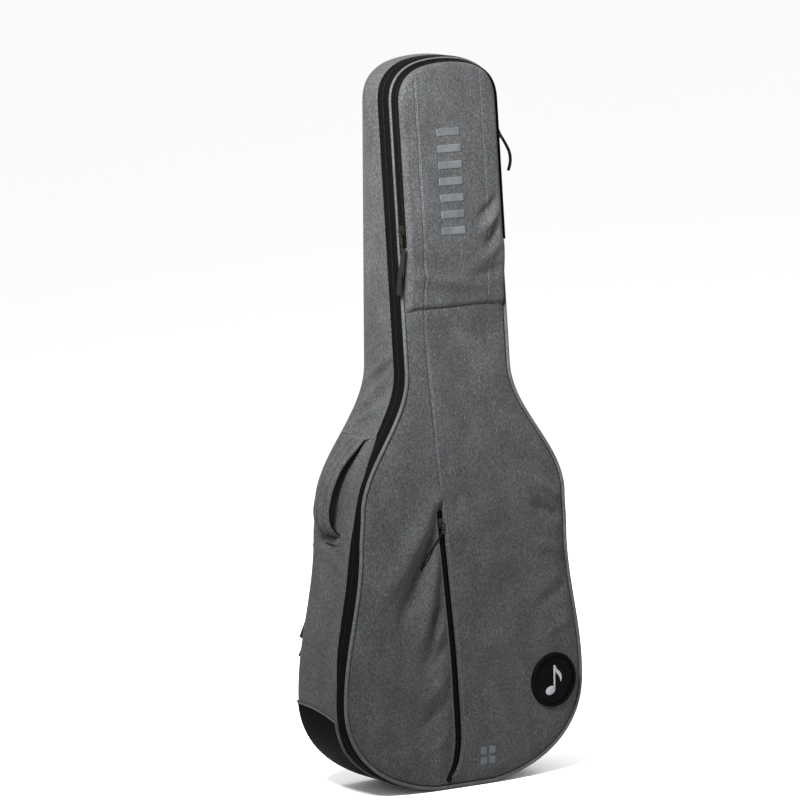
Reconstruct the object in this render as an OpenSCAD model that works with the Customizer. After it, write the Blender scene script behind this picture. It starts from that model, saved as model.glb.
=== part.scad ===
// Padded gig bag for a dreadnought guitar, standing on its tail end.
// X runs across the bag, the front faces -Y, and Z runs up from the flat foot under the tail.

/* [Outline] */
// Height from the floor to the crown
bag_h = 1120; // [1090:1:1150]
// Width across the lower bout
lower_bout_w = 448; // [430:1:460]
// Width across the waist
waist_w = 387; // [375:1:400]
// Width across the upper bout
upper_bout_w = 381; // [370:1:390]
// Width of the neck and headstock
neck_w = 194; // [186:1:204]

/* [Depth] */
// Depth over the body
body_depth = 142; // [135:1:150]
// How far the front leans back from the shoulders to the crown
front_lean = 60; // [45:1:65]
// Depth of the hinged front, from its face to the main zip
lid_depth = 17; // [17:0.5:19]
// Radius along the back edge
back_r = 22; // [18:1:26]

/* [Padding] */
// Outer fabric
cover_t = 1.5; // [1:0.1:2]
// Foam in the back and sides
shell_foam_t = 12; // [10:0.5:14]
// Foam in the front
lid_foam_t = 10; // [8:0.5:11]
// Inner lining
lining_t = 1; // [0.8:0.1:1.2]

/* [Neck pocket] */
// How far the pocket stands off the front
pocket_out = 20; // [18:1:22]
// Height of the pocket's fold line, where its zip ends
fold_z = 826; // [815:1:835]
// Height of the seam at the pocket's foot
pocket_foot_z = 738; // [728:1:745]

/* [Handle and straps] */
// Width of the side handle
handle_w = 40; // [34:1:42]
// Rise of the side handle over the line between its sewn ends
handle_rise = 40; // [38:1:44]
// Width of a shoulder strap's pad
strap_w = 60; // [50:1:62]
// Rise of a shoulder strap over the line between its ends
strap_rise = 32; // [28:1:36]

/* [Hidden] */
$fn = 48;
air = 0.1;        // clearance between sewn layers
guard_t = 2.4;    // rubberised guard under the tail
tape_t = 1;       // woven zip tape
face_r = 8;       // radius along the front edge

// Stations up the outline, as heights above the bottom of the cover
lower_bout_z = 150;
waist_z = 390;
upper_bout_z = 440;
neck_z = 650;
crown_z = bag_h - 68;
lean_start_z = 430;
lean_full_z = 550;
lean_slope = front_lean / (bag_h - (lean_start_z + lean_full_z) / 2);
lean_angle = atan(lean_slope);

// Tail and crown are superellipses
tail_power = 2.2;
foot_sink = 3;
tail_rise = lower_bout_z + foot_sink;
tail_angle = acos(pow(1 - foot_sink / tail_rise, tail_power / 2));
crown_power = 2.5;
crown_angle = 78;
crown_rise = (bag_h - crown_z) / pow(sin(crown_angle), 2 / crown_power);

front_y = -body_depth / 2 + 1;
back_y = body_depth / 2 + 1;
lift = guard_t + air;

// Main zip: two tapes with a coil between them
tape_start = 4;
tape_end = 31;
coil_half = 1.4;
zip_gap = 2.2;
hinge_top_z = 335;
zip_tail_z = 14;
hinge_x = lower_bout_w / 2 + 2;

// Neck pocket
pocket_inset = 6;
pocket_wall = 2;
pocket_split = 9.4;

// Music pocket zip, slanting down the front
music_top = [-42, 430];
music_foot = [-10, 95];
music_angle = atan((music_foot[0] - music_top[0]) / (music_top[1] - music_foot[1]));
music_zip_w = 9;
panel_inset = 4.5;
panel_top_z = 729;

// Rubber patch and small motifs
patch_at = [163, 151];
patch_r = 43;
hem_motif_at = [38, 47];
flap_motif_at = [-8, 938];

// Zip sliders, by height
neck_slider_z = 868;
music_slider_z = 418;
main_slider_z = 1026;
main_pull_tilt = 25;

// Side handle, from its upper to its lower sewn end
handle_y = 2;
handle_ends = [[-153, 537], [-196, 386]];
handle_lift = 8;
handle_face_t = 3;
handle_lining_t = 3;

// Shoulder straps: upper and lower ends on the left of the back
strap_ends = [[-48, 598], [-196, 226]];
strap_lift = 12;
strap_t = 9;
webbing_w = 25;
webbing_t = 1.8;

// ---- Outline ----

function clamp01(t) = min(max(t, 0), 1);
function ease(a, b, t) = a + (b - a) * (1 - cos(180 * clamp01(t))) / 2;
function half_width(z) =
    z < waist_z ? ease(lower_bout_w, waist_w, (z - lower_bout_z) / (waist_z - lower_bout_z)) / 2 :
    z < upper_bout_z ? ease(waist_w, upper_bout_w, (z - waist_z) / (upper_bout_z - waist_z)) / 2 :
    ease(upper_bout_w, neck_w, (z - upper_bout_z) / (neck_z - upper_bout_z)) / 2;

function tail_point(a) = [
    lower_bout_w / 2 * pow(sin(a), 2 / tail_power),
    tail_rise * (1 - pow(cos(a), 2 / tail_power)) - foot_sink
];
function crown_point(a) = [
    neck_w / 2 * pow(cos(a), 2 / crown_power),
    crown_z + crown_rise * pow(sin(a), 2 / crown_power)
];
function steps(from, to, count) = [for (i = [1 : count]) from + (to - from) * i / count];

side_heights = concat(
    steps(lower_bout_z, neck_z, 11),
    steps(neck_z, fold_z, 3),
    steps(fold_z, crown_z, 4)
);
half_outline = concat(
    [for (a = concat([tail_angle], steps(tail_angle, 90, 9))) tail_point(a)],
    [for (z = side_heights) [half_width(z), z]],
    [for (a = steps(0, crown_angle, 8)) crown_point(a)]
);
half_count = len(half_outline);
count = 2 * half_count;

function mirrored(p) = [-p[0], p[1]];
function neighbour(i) =
    i < 0 ? mirrored(half_outline[0]) :
    i >= half_count ? mirrored(half_outline[half_count - 1]) : half_outline[i];
function unit(v) = v / norm(v);
function outward(i) =
    let (t = unit(neighbour(i + 1) - neighbour(i)) + unit(neighbour(i) - neighbour(i - 1)))
    unit([t[1], -t[0]]);
half_outward = [for (i = [0 : half_count - 1]) outward(i)];

// First outline point at or above a height, on the right side
function index_at(z) = len([for (p = half_outline) if (p[1] < z - 0.01) 1]);
function other_side(i) = count - 1 - i;

// The front face leans back above the shoulders
function lean(z) =
    z < lean_start_z ? 0 :
    z < lean_full_z ? lean_slope * pow(z - lean_start_z, 2) / (2 * (lean_full_z - lean_start_z)) :
    lean_slope * (z - (lean_start_z + lean_full_z) / 2);
function face_y(z) = front_y + lean(z - lift);

// A ring is the outline moved inwards by inset, on a plane a set depth behind the front or
// ahead of the back. Points run up the right side and down the left.
function inset_half(inset) = [
    for (i = [0 : half_count - 1]) half_outline[i] - inset * half_outward[i] + [0, lift]
];
function whole(half) = concat(half, [for (i = [len(half) - 1 : -1 : 0]) mirrored(half[i])]);
function front_ring(inset, behind) =
    [for (p = whole(inset_half(inset))) [p[0], face_y(p[1]) + behind, p[1]]];
function back_ring(inset, ahead) =
    [for (p = whole(inset_half(inset))) [p[0], back_y - ahead, p[1]]];

// ---- Solids from rings ----

function quad(a, b, c, d) = [[a, b, c], [a, c, d]];

// A solid through a stack of symmetric rings, closed at both ends by level strips
module loft(rings) {
    n = len(rings[0]);
    top = (len(rings) - 1) * n;
    polyhedron(
        points = [for (r = rings) each r],
        faces = [
            for (j = [0 : len(rings) - 2], i = [0 : n - 1])
                each quad(j * n + (i + 1) % n, j * n + i, (j + 1) * n + i, (j + 1) * n + (i + 1) % n),
            for (i = [0 : n / 2 - 2]) each quad(i, i + 1, n - 2 - i, n - 1 - i),
            for (i = [0 : n / 2 - 2]) each quad(top + n - 1 - i, top + n - 2 - i, top + i + 1, top + i)
        ]
    );
}

// A strip that follows the outline from one index to another. Its section is the list of rings
// through its corners, clockwise when seen along the strip.
module band(rings, first, last) {
    m = len(rings);
    n = len(rings[0]);
    closed = last - first == n;
    rows = closed ? n : last - first + 1;
    polyhedron(
        points = [for (k = [0 : rows - 1], r = rings) r[(first + k) % n]],
        faces = [
            for (k = [0 : closed ? rows - 1 : rows - 2], j = [0 : m - 1])
                let (a = k * m, b = ((k + 1) % rows) * m, next = (j + 1) % m)
                each quad(a + j, a + next, b + next, b + j),
            if (!closed) [for (j = [m - 1 : -1 : 0]) j],
            if (!closed) [for (j = [0 : m - 1]) (rows - 1) * m + j]
        ]
    );
}

// Rings of a strip between two insets and two depths behind the front
function front_strip(outer, inner, near, far) = [
    front_ring(outer, near), front_ring(inner, near), front_ring(inner, far), front_ring(outer, far)
];

// Rings of a round cord along the outline
function cord_rings(inset, behind, r) =
    [for (a = [0 : 60 : 300]) front_ring(inset + r * cos(a), behind + r * sin(a))];

// A tray behind the front: from its face back to the rim, with walls of thickness t
module lid_tray(inset, t, r) {
    rim = lid_depth - 0.2;
    bend = r * (1 - cos(45));
    inner = inset + t;
    inner_r = max(r - t, 1.5);
    inner_bend = inner_r * (1 - cos(45));
    loft([
        front_ring(inner + inner_r, inner),
        front_ring(inner + inner_bend, inner + inner_bend),
        front_ring(inner, inner + inner_r),
        front_ring(inner, rim),
        front_ring(inset, rim),
        front_ring(inset, inset + r),
        front_ring(inset + bend, inset + bend),
        front_ring(inset + r, inset)
    ]);
}

// A tray ahead of the back: from its rim back to the panel
module shell_tray(inset, t, r) {
    rim = lid_depth + 0.2;
    bend = r * (1 - cos(45));
    inner = inset + t;
    inner_r = max(r - t, 2);
    inner_bend = inner_r * (1 - cos(45));
    loft([
        back_ring(inset + r, inset),
        back_ring(inset + bend, inset + bend),
        back_ring(inset, inset + r),
        front_ring(inset, rim),
        front_ring(inner, rim),
        back_ring(inner, inner + inner_r),
        back_ring(inner + inner_bend, inner + inner_bend),
        back_ring(inner + inner_r, inner)
    ]);
}

// ---- Back shell ----

foam_inset = cover_t + air;
lining_inset = foam_inset + shell_foam_t + air;
zip_first = index_at(hinge_top_z);
zip_last = count + index_at(zip_tail_z);

module shell_cover() {
    color("#77777b") shell_tray(0, cover_t, back_r);
}

module shell_foam() {
    color("#c9c6bd") shell_tray(foam_inset, shell_foam_t, back_r - foam_inset);
}

module shell_lining() {
    color("#3a3b40") shell_tray(lining_inset, lining_t, back_r - lining_inset);
}

module rear_zip_tape() {
    color("#17171a") band(front_strip(-air - tape_t, -air, lid_depth + zip_gap, tape_end), zip_first, zip_last);
}

module main_zip_coil() {
    color("#0c0c0e") band(
        front_strip(-air - 1.8, -air - 0.2, lid_depth - coil_half, lid_depth + zip_gap - air), zip_first, zip_last
    );
}

guard_top = index_at(122);

module bottom_guard() {
    rings = [
        front_ring(-guard_t - air, tape_end + 4), front_ring(-air, tape_end + 4),
        back_ring(-air, back_r), back_ring(-guard_t - air, back_r)
    ];
    color("#1c1d20") band(rings, other_side(guard_top), count + guard_top);
}

module guard_piping() {
    color("#9b9ca0") band(
        front_strip(-guard_t - air, -air, tape_end + 0.6, tape_end + 3.8), other_side(guard_top), count + guard_top
    );
}

module hinge_gusset() {
    color("#77777b") band(
        front_strip(-air - tape_t, -air, lid_depth + 1, tape_end), index_at(zip_tail_z + 20), zip_first - 1
    );
}

// ---- Side handle ----

handle_chord = handle_ends[0] - handle_ends[1];
handle_length = norm(handle_chord);
handle_turn = atan2(handle_chord[0], handle_chord[1]);
handle_out = unit([-handle_chord[1], handle_chord[0]]);
handle_mid = (handle_ends[0] + handle_ends[1]) / 2 + handle_lift * handle_out;

// A strip of a round arch over a chord along Z, bulging to -X from the origin at the chord's middle
module arch(length, rise, width, near, far, from, to) {
    radius = length * length / (8 * rise) + rise / 2;
    half = asin(length / 2 / radius);
    start = half * from;
    translate([radius - rise, 0, 0])
        rotate([90, 0, 0])
            rotate([0, 0, 180 + start])
                rotate_extrude(angle = half * (to - from), $fn = 96)
                    translate([radius + near, -width / 2])
                        square([far - near, width]);
}

module at_handle() {
    translate([handle_mid[0], handle_y, handle_mid[1] + lift]) rotate([0, handle_turn, 0]) children();
}

module handle_face() {
    color("#6f7075") at_handle()
        arch(handle_length, handle_rise, handle_w, -handle_face_t, 0, -1, 1);
}

module handle_lining() {
    color("#17171a") at_handle()
        arch(handle_length, handle_rise, handle_w, -handle_face_t - air - handle_lining_t, -handle_face_t - air, -1, 1);
}

// A stitched plate on the side wall at a height, following the wall's slope
module wall_plate(z, length, width, t) {
    slope = (half_width(z + 5) - half_width(z - 5)) / 10;
    translate([-half_width(z), handle_y, z + lift]) rotate([0, -atan(slope), 0])
        translate([-t - 1, -width / 2, -length / 2]) cube([t, width, length]);
}

module handle_top_anchor() {
    color("#6f7075") wall_plate(handle_ends[0][1] + 14, 20, handle_w + 2, 2);
}

module handle_bottom_anchor() {
    color("#6f7075") wall_plate(handle_ends[1][1] - 12, 22, handle_w + 2, 2);
}

// ---- Shoulder straps ----

strap_chord = strap_ends[0] - strap_ends[1];
strap_length = norm(strap_chord);
strap_turn = atan2(strap_chord[0], strap_chord[1]);
strap_mid = (strap_ends[0] + strap_ends[1]) / 2;

// Places a strap built along Z and bulging to -X on the left of the back, bulging to +Y
module at_strap() {
    translate([strap_mid[0], back_y + strap_lift, strap_mid[1] + lift])
        rotate([0, strap_turn, 0]) rotate([0, 0, -90]) children();
}

module strap_pad() {
    at_strap() arch(strap_length, strap_rise, strap_w, -strap_t, 0, -1, 0.22);
}

module strap_webbing() {
    at_strap() arch(strap_length, strap_rise, webbing_w, -strap_t / 2 - webbing_t, -strap_t / 2, 0.3, 1);
}

// A ladder lock: a frame with two slots
module strap_buckle() {
    radius = strap_length * strap_length / (8 * strap_rise) + strap_rise / 2;
    half = asin(strap_length / 2 / radius);
    at_strap() translate([radius - strap_rise, 0, 0]) rotate([0, -half * 0.26, 0])
        translate([-radius + strap_t / 2 - 2, 0, 0]) rotate([90, 0, 90]) linear_extrude(4.5) difference() {
            square([34, 6.6], center = true);
            translate([0, 1.6]) square([26.5, 1.4], center = true);
            translate([0, -1.6]) square([26.5, 1.4], center = true);
        }
}

module strap_anchor() {
    translate([strap_ends[1][0], back_y + air, strap_ends[1][1] + lift - 12]) rotate([-90, 0, 0])
        rotate([0, 0, 22]) linear_extrude(3) polygon([[-16, -13], [16, -13], [26, 16], [-26, 16]]);
}

module left_strap_pad() {
    color("#2c2d31") strap_pad();
}

module left_strap_webbing() {
    color("#141416") strap_webbing();
}

module left_strap_buckle() {
    color("#1b1b1d") strap_buckle();
}

module left_strap_anchor() {
    color("#1f2023") strap_anchor();
}

module right_strap_pad() {
    color("#2c2d31") mirror([1, 0, 0]) strap_pad();
}

module right_strap_webbing() {
    color("#141416") mirror([1, 0, 0]) strap_webbing();
}

module right_strap_buckle() {
    color("#1b1b1d") mirror([1, 0, 0]) strap_buckle();
}

module right_strap_anchor() {
    color("#1f2023") mirror([1, 0, 0]) strap_anchor();
}

module strap_yoke() {
    z = strap_ends[0][1] + lift + 12;
    color("#2c2d31") translate([0, back_y + air, z]) rotate([-90, 0, 0])
        linear_extrude(6) polygon([[-84, 0], [84, 0], [62, -48], [-62, -48]]);
}

// ---- Front lid ----

module lid_cover() {
    color("#7b7b7f") lid_tray(0, cover_t, face_r);
}

module lid_foam() {
    color("#c9c6bd") lid_tray(foam_inset, lid_foam_t, face_r - foam_inset);
}

module lid_lining() {
    inset = foam_inset + lid_foam_t + air;
    color("#3a3b40") lid_tray(inset, lining_t, 1.5);
}

module front_zip_tape() {
    color("#17171a") band(front_strip(-air - tape_t, -air, tape_start, lid_depth - zip_gap), zip_first, zip_last);
}

module front_piping() {
    color("#a3a4a8") band(cord_rings(0.6, 0.6, 2), 0, count);
}

// The seam between the left and right halves of the front, as X at a height
function seam_x(z) = music_top[0] + (music_top[1] - z) * tan(music_angle);

// The outer layer of the music pocket, right of the slanting zip
module music_pocket_panel() {
    edge = [for (p = inset_half(panel_inset)) if (p[1] < panel_top_z) p];
    rows = concat(edge, [[half_width(panel_top_z) - panel_inset, panel_top_z]]);
    n = len(rows);
    color("#7b7b7f") polyhedron(
        points = [
            for (p = rows) each [
                [seam_x(p[1]), face_y(p[1]) - air - cover_t, p[1]], [p[0], face_y(p[1]) - air - cover_t, p[1]],
                [p[0], face_y(p[1]) - air, p[1]], [seam_x(p[1]), face_y(p[1]) - air, p[1]]
            ]
        ],
        faces = [
            for (k = [0 : n - 2], j = [0 : 3])
                each quad(4 * k + (j + 1) % 4, 4 * k + j, 4 * k + 4 + j, 4 * k + 4 + (j + 1) % 4),
            [0, 1, 2, 3],
            [4 * n - 1, 4 * n - 2, 4 * n - 3, 4 * n - 4]
        ]
    );
}

// Places children on the front face at the zip's top end, with -Z running down the zip
module at_music_zip() {
    translate([music_top[0], front_y, music_top[1]]) rotate([0, -music_angle, 0]) children();
}

music_zip_length = norm(music_top - music_foot);

module music_zip_tape() {
    color("#121214") at_music_zip()
        translate([-music_zip_w, -air - 0.8, -music_zip_length]) cube([music_zip_w - 0.3, 0.8, music_zip_length]);
}

module music_zip_coil() {
    color("#0c0c0e") at_music_zip()
        translate([-music_zip_w / 2 - 1.6, -air - 2, -music_zip_length + 3])
            cube([3.2, 1.1, music_zip_length - 6]);
}

module rubber_patch() {
    color("#1b1c1f") at_patch(0) cylinder(h = 2, r = patch_r - 4.2);
}

module at_patch(out) {
    translate([patch_at[0], front_y - 2 * air - cover_t - out, patch_at[1]]) rotate([90, 0, 0]) children();
}

module patch_rim() {
    color("#101113") at_patch(0) rotate_extrude() polygon([
        [patch_r - 4, 0], [patch_r, 0], [patch_r, 2.2], [patch_r - 1, 3.4], [patch_r - 3, 3.4], [patch_r - 4, 2.2]
    ]);
}

// A plain quaver
module patch_emblem() {
    color("#c9ccd0") at_patch(2 + air) linear_extrude(1) {
        translate([-8, -17]) scale([1, 0.75]) circle(r = 9);
        translate([-1.6, -16]) square([3.4, 38]);
        polygon([[1, 22], [1, 13], [10, 6], [13, -3], [16, 6], [9, 15]]);
    }
}

// Four plain squares near the hem
module hem_motif() {
    color("#9fa1a6") translate([hem_motif_at[0], front_y - 2 * air - cover_t, hem_motif_at[1]])
        rotate([90, 0, 0]) for (x = [-8, 8], z = [-8, 8])
            translate([x, z, 0.3]) cube([11, 11, 0.6], center = true);
}

// ---- Neck pocket ----

pocket_first = index_at(fold_z);
pocket_last = other_side(pocket_first);
pocket_half = neck_w / 2 - pocket_inset;

// Level of the pocket's fold line on the lifted outline
fold_level = fold_z + lift;

module neck_pocket_gusset() {
    color("#707175") band(
        front_strip(pocket_inset, pocket_inset + pocket_wall, -pocket_split + 0.3, -air), pocket_first, pocket_last
    );
}

module neck_pocket_tape() {
    color("#17171a") band(
        front_strip(pocket_inset - 0.9, pocket_inset - air, -pocket_split + 1.4, -1), pocket_first, pocket_last
    );
}

module neck_pocket_coil() {
    color("#0c0c0e") band(
        front_strip(pocket_inset - 2, pocket_inset - 0.6, -pocket_split - 1.2, -pocket_split + 1.3),
        pocket_first, pocket_last
    );
}

// The sewn foot below the fold line: a sloping front with two cheeks
module neck_pocket_foot() {
    foot = [face_y(pocket_foot_z) - air, pocket_foot_z];
    rise = [face_y(fold_level), fold_level];
    front = [[rise[0] - pocket_out, rise[1]], foot, foot + [0, 10], [rise[0] - pocket_out + pocket_wall, rise[1]]];
    cheek = [[rise[0] - pocket_out, rise[1]], foot, [rise[0] - air, rise[1]]];
    color("#737478") rotate([90, 0, 90]) {
        translate([0, 0, -pocket_half]) linear_extrude(2 * pocket_half) polygon(front);
        for (x = [-pocket_half, pocket_half - pocket_wall])
            translate([0, 0, x]) linear_extrude(pocket_wall) polygon(cheek);
    }
}

function pocket_part(ring) = [for (i = [pocket_first : pocket_last]) ring[i] + [0, 0, 0.4]];

module neck_pocket_flap() {
    color("#7b7b7f") union() {
        loft([
            pocket_part(front_ring(pocket_inset, -pocket_out + pocket_wall)),
            pocket_part(front_ring(pocket_inset, -pocket_out + 1.4)),
            pocket_part(front_ring(pocket_inset + 1.4, -pocket_out))
        ]);
        band([for (r = front_strip(pocket_inset, pocket_inset + pocket_wall, -pocket_out + 1.4, -pocket_split - 0.3))
            pocket_part(r)], 0, pocket_last - pocket_first);
    }
}

module flap_zip_tape() {
    rings = front_strip(pocket_inset - 0.9, pocket_inset - air, -pocket_out + 2.2, -pocket_split - 1.6);
    color("#17171a") band([for (r = rings) pocket_part(r)], 0, pocket_last - pocket_first);
}

// Plain reflective bars, stacked like frets
module flap_motif() {
    color("#aeb3ba") translate([flap_motif_at[0], face_y(flap_motif_at[1]) - pocket_out - 0.6, flap_motif_at[1]])
        rotate([-lean_angle, 0, 0]) for (i = [-3 : 3])
            translate([0, 0, 25 * i]) cube([44, 0.6, 12], center = true);
}

// ---- Zip sliders ----

// A slider built on the YZ plane, facing +X, with its pin along Y
slider_pin_x = 5.4;
slider_pin_z = -2;
pin_r = 1.1;

module slider_body() {
    translate([0.2, 0, 0]) rotate([90, 0, 90]) linear_extrude(2.6)
        polygon([[-5.4, 7.5], [5.4, 7.5], [4.2, -7.5], [-4.2, -7.5]]);
    for (y = [-4.1, 2.7])
        translate([2.6, y, slider_pin_z - 2]) cube([4.6, 1.4, 4]);
    translate([slider_pin_x, 0, slider_pin_z]) rotate([90, 0, 0]) cylinder(h = 7, r = pin_r, center = true);
}

// A pull plate with an eye round the pin, hanging down, with a hole near its end
module pull_plate(length, width, t) {
    difference() {
        union() {
            rotate([90, 0, 0]) cylinder(h = 5, r = 2.3, center = true);
            translate([-t / 2, -2.4, -6]) cube([t, 4.8, 5.6]);
            translate([-t / 2, -width / 2, -length]) cube([t, width, length - 4]);
        }
        rotate([90, 0, 0]) cylinder(h = 8, r = pin_r + 0.1, center = true);
        translate([0, 0, -length + 6]) rotate([0, 90, 0]) cylinder(h = 4 * t, r = width / 4, center = true);
    }
}

module pull_tab(from, length, width, t) {
    translate([-t / 2, -width / 2, -from - length]) cube([t, width, length]);
}

// Neck pocket slider on the pocket's left side, running up the straight side
module at_neck_slider() {
    translate([-pocket_half - 1.9, face_y(neck_slider_z) - pocket_split, neck_slider_z])
        rotate([-lean_angle, 0, 0]) rotate([0, 0, 180]) children();
}

module at_main_slider() {
    translate([neck_w / 2 + 2, face_y(main_slider_z) + lid_depth, main_slider_z])
        rotate([-lean_angle, 0, 0]) children();
}

module at_music_slider() {
    at_music_zip() translate([-music_zip_w / 2, -air - 2, music_slider_z - music_top[1]])
        rotate([0, 0, -90]) children();
}

module at_pin(tilt) {
    translate([slider_pin_x, 0, slider_pin_z]) rotate([0, -tilt, 0]) children();
}

module neck_zip_slider() {
    color("#4a463f") at_neck_slider() slider_body();
}

module neck_zip_pull() {
    color("#5a5348") at_neck_slider() at_pin(0) pull_plate(28, 8, 1.8);
}

module neck_pull_tab() {
    color("#33343a") at_neck_slider() at_pin(0) pull_tab(28, 68, 7, 2.4);
}

module main_zip_slider() {
    color("#4a463f") at_main_slider() slider_body();
}

module main_zip_pull() {
    color("#5a5348") at_main_slider() at_pin(main_pull_tilt) pull_plate(34, 9, 1.8);
}

module main_pull_tab() {
    color("#33343a") at_main_slider() at_pin(main_pull_tilt) pull_tab(34, 50, 7, 2.4);
}

module music_zip_slider() {
    color("#1a1a1c") at_music_slider() slider_body();
}

module music_zip_pull() {
    color("#1a1a1c") at_music_slider() at_pin(0) pull_plate(14, 6, 1.6);
}

// A knotted loop of thin cord, hanging a little to the left
module music_pull_cord() {
    color("#0f0f10") at_music_slider() at_pin(0) translate([0, 0, -17.2]) rotate([-24, 0, 0])
        rotate([90, 0, 90]) translate([0, -54, -1.2]) linear_extrude(2.4) difference() {
            polygon([[-2.2, 56], [2.2, 56], [5, 12], [3, 0], [-3, 0], [-5, 12]]);
            polygon([[-0.6, 40], [0.6, 40], [2.2, 14], [1.2, 4], [-1.2, 4], [-2.2, 14]]);
        }
}

// ---- Assembly ----

shell_cover();
shell_foam();
shell_lining();
rear_zip_tape();
main_zip_coil();
bottom_guard();
guard_piping();
hinge_gusset();
handle_top_anchor();
handle_bottom_anchor();
strap_yoke();
left_strap_anchor();
right_strap_anchor();
lid_cover();
lid_foam();
lid_lining();
front_zip_tape();
front_piping();
music_pocket_panel();
music_zip_tape();
music_zip_coil();
neck_pocket_gusset();
neck_pocket_foot();
neck_pocket_tape();
neck_pocket_coil();
rubber_patch();
patch_rim();
patch_emblem();
hem_motif();
neck_pocket_flap();
flap_zip_tape();
flap_motif();
neck_zip_slider();
neck_zip_pull();
neck_pull_tab();
music_zip_slider();
music_zip_pull();
music_pull_cord();
main_zip_slider();
main_zip_pull();
main_pull_tab();
handle_face();
handle_lining();
left_strap_pad();
left_strap_webbing();
left_strap_buckle();
right_strap_pad();
right_strap_webbing();
right_strap_buckle();
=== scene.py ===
"""Looks of the padded gig bag, built round its CAD model.

Shapes are worked out in millimetres in the model's frame, and scaled to metres as each mesh is made.
The front of the bag faces -Y, its tail stands on the floor at Z = 0, and the neck points up.
"""

import math

import bmesh
import bpy
import numpy as np
from mathutils import Matrix, Vector


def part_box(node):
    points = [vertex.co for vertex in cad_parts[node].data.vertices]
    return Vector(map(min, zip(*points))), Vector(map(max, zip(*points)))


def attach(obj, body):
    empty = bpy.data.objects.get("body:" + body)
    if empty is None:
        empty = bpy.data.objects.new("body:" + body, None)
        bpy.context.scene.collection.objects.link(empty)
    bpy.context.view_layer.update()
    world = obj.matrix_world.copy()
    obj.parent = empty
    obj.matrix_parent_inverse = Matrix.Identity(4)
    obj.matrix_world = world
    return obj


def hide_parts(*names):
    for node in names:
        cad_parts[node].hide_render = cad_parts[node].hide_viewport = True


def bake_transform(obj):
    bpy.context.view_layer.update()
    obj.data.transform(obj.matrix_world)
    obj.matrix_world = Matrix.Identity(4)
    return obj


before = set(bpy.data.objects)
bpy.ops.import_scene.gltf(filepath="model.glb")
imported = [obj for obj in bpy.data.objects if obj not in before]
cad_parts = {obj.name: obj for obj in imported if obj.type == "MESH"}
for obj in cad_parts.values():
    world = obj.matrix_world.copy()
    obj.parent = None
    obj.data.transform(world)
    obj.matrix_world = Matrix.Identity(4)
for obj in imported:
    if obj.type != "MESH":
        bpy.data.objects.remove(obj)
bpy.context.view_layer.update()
MM = 0.001


def link(name, data):
    """A new object in the scene from its mesh, light or camera."""
    obj = bpy.data.objects.new(name, data)
    bpy.context.scene.collection.objects.link(obj)
    return obj


def corners(node):
    """A CAD node's lowest and highest corner in millimetres."""
    low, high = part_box(node)
    return np.array(low) / MM, np.array(high) / MM


# ---- Sizes, in millimetres ----

COVER_LOW, COVER_HIGH = corners("shell_cover")
LIFT = round(COVER_LOW[2], 1)
BAG_H = round(COVER_HIGH[2] - LIFT, 1)
LOWER_BOUT_W = round(2 * COVER_HIGH[0], 1)
BACK_Y = round(COVER_HIGH[1], 1)
FRONT_Y = round(corners("lid_cover")[0][1], 1)
WAIST_W = 387
UPPER_BOUT_W = 381
NECK_W = 194
LOWER_BOUT_Z = 150
WAIST_Z = 390
UPPER_BOUT_Z = 440
NECK_Z = 650
CROWN_Z = BAG_H - 68
FRONT_LEAN = 60
LEAN_START_Z = 430
LEAN_FULL_Z = 550
TAIL_POWER = 2.2
CROWN_POWER = 2.5
FOOT_SINK = 3        # how far the tail's curve runs on below its flat foot
CROWN_ANGLE = 78     # degrees of the crown's curve that are used, before its flat top
CROWN_BOW = 1.6      # how far the crown's flat top rises in its middle
BACK_R = 22
LID_DEPTH = 17
TAPE_END = 31
HINGE_TOP_Z = 335
ZIP_TAIL_Z = 14
FOLD_LEVEL = 828.5
POCKET_FOOT_Z = 738
POCKET_INSET = 6
POCKET_OUT = 20
POCKET_SPLIT = 9.4

ROWS = 330       # points up each side of the outline
COLS = 96        # points across the bag
ACROSS = np.linspace(-1, 1, COLS)
BOWED_ROWS = 40  # rows below the crown that bend with it
CHUNK = 4000     # points measured at a time, to save memory

FORWARD = (0, -1, 0)
BACKWARD = (0, 1, 0)


# ---- Curves ----

def smooth_step(t):
    t = np.clip(t, 0, 1)
    return t * t * (3 - 2 * t)


def bump_at(value, centre, width):
    """A bell of unit height round a centre."""
    return np.exp(-((value - centre) / width) ** 2)


def run_along(path):
    """Distance along a path at each of its points."""
    return np.concatenate([[0], np.cumsum(np.linalg.norm(np.diff(path, axis=0), axis=1))])


def at_run(values, run, where):
    """Values given along a path, read at other distances along it."""
    return np.stack([np.interp(where, run, values[:, k]) for k in range(values.shape[1])], -1)


def resample(points, count):
    """The same polyline with points evenly spaced along it."""
    run = run_along(points)
    return at_run(points, run, np.linspace(0, run[-1], count))


def unit(v):
    v = np.asarray(v, float)
    return v / np.maximum(np.linalg.norm(v, axis=-1, keepdims=True), 1e-9)


def circle(radius, count):
    a = np.arange(count) * 2 * np.pi / count
    return np.stack([radius * np.cos(a), radius * np.sin(a)], -1)


def both_sides(upper):
    """A closed section from its upper half, which starts and ends at height 0."""
    upper = np.asarray(upper, float)
    return np.concatenate([upper, upper[-2:0:-1] * [1, -1]])


def upright(flat, y):
    """Points given as X and Z, at a depth."""
    return np.stack([flat[..., 0], np.broadcast_to(y, flat.shape[:-1]), flat[..., 1]], -1)


# ---- Outline and its rings ----

def ease(a, b, t):
    return a + (b - a) * (1 - np.cos(np.pi * np.clip(t, 0, 1))) / 2


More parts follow.
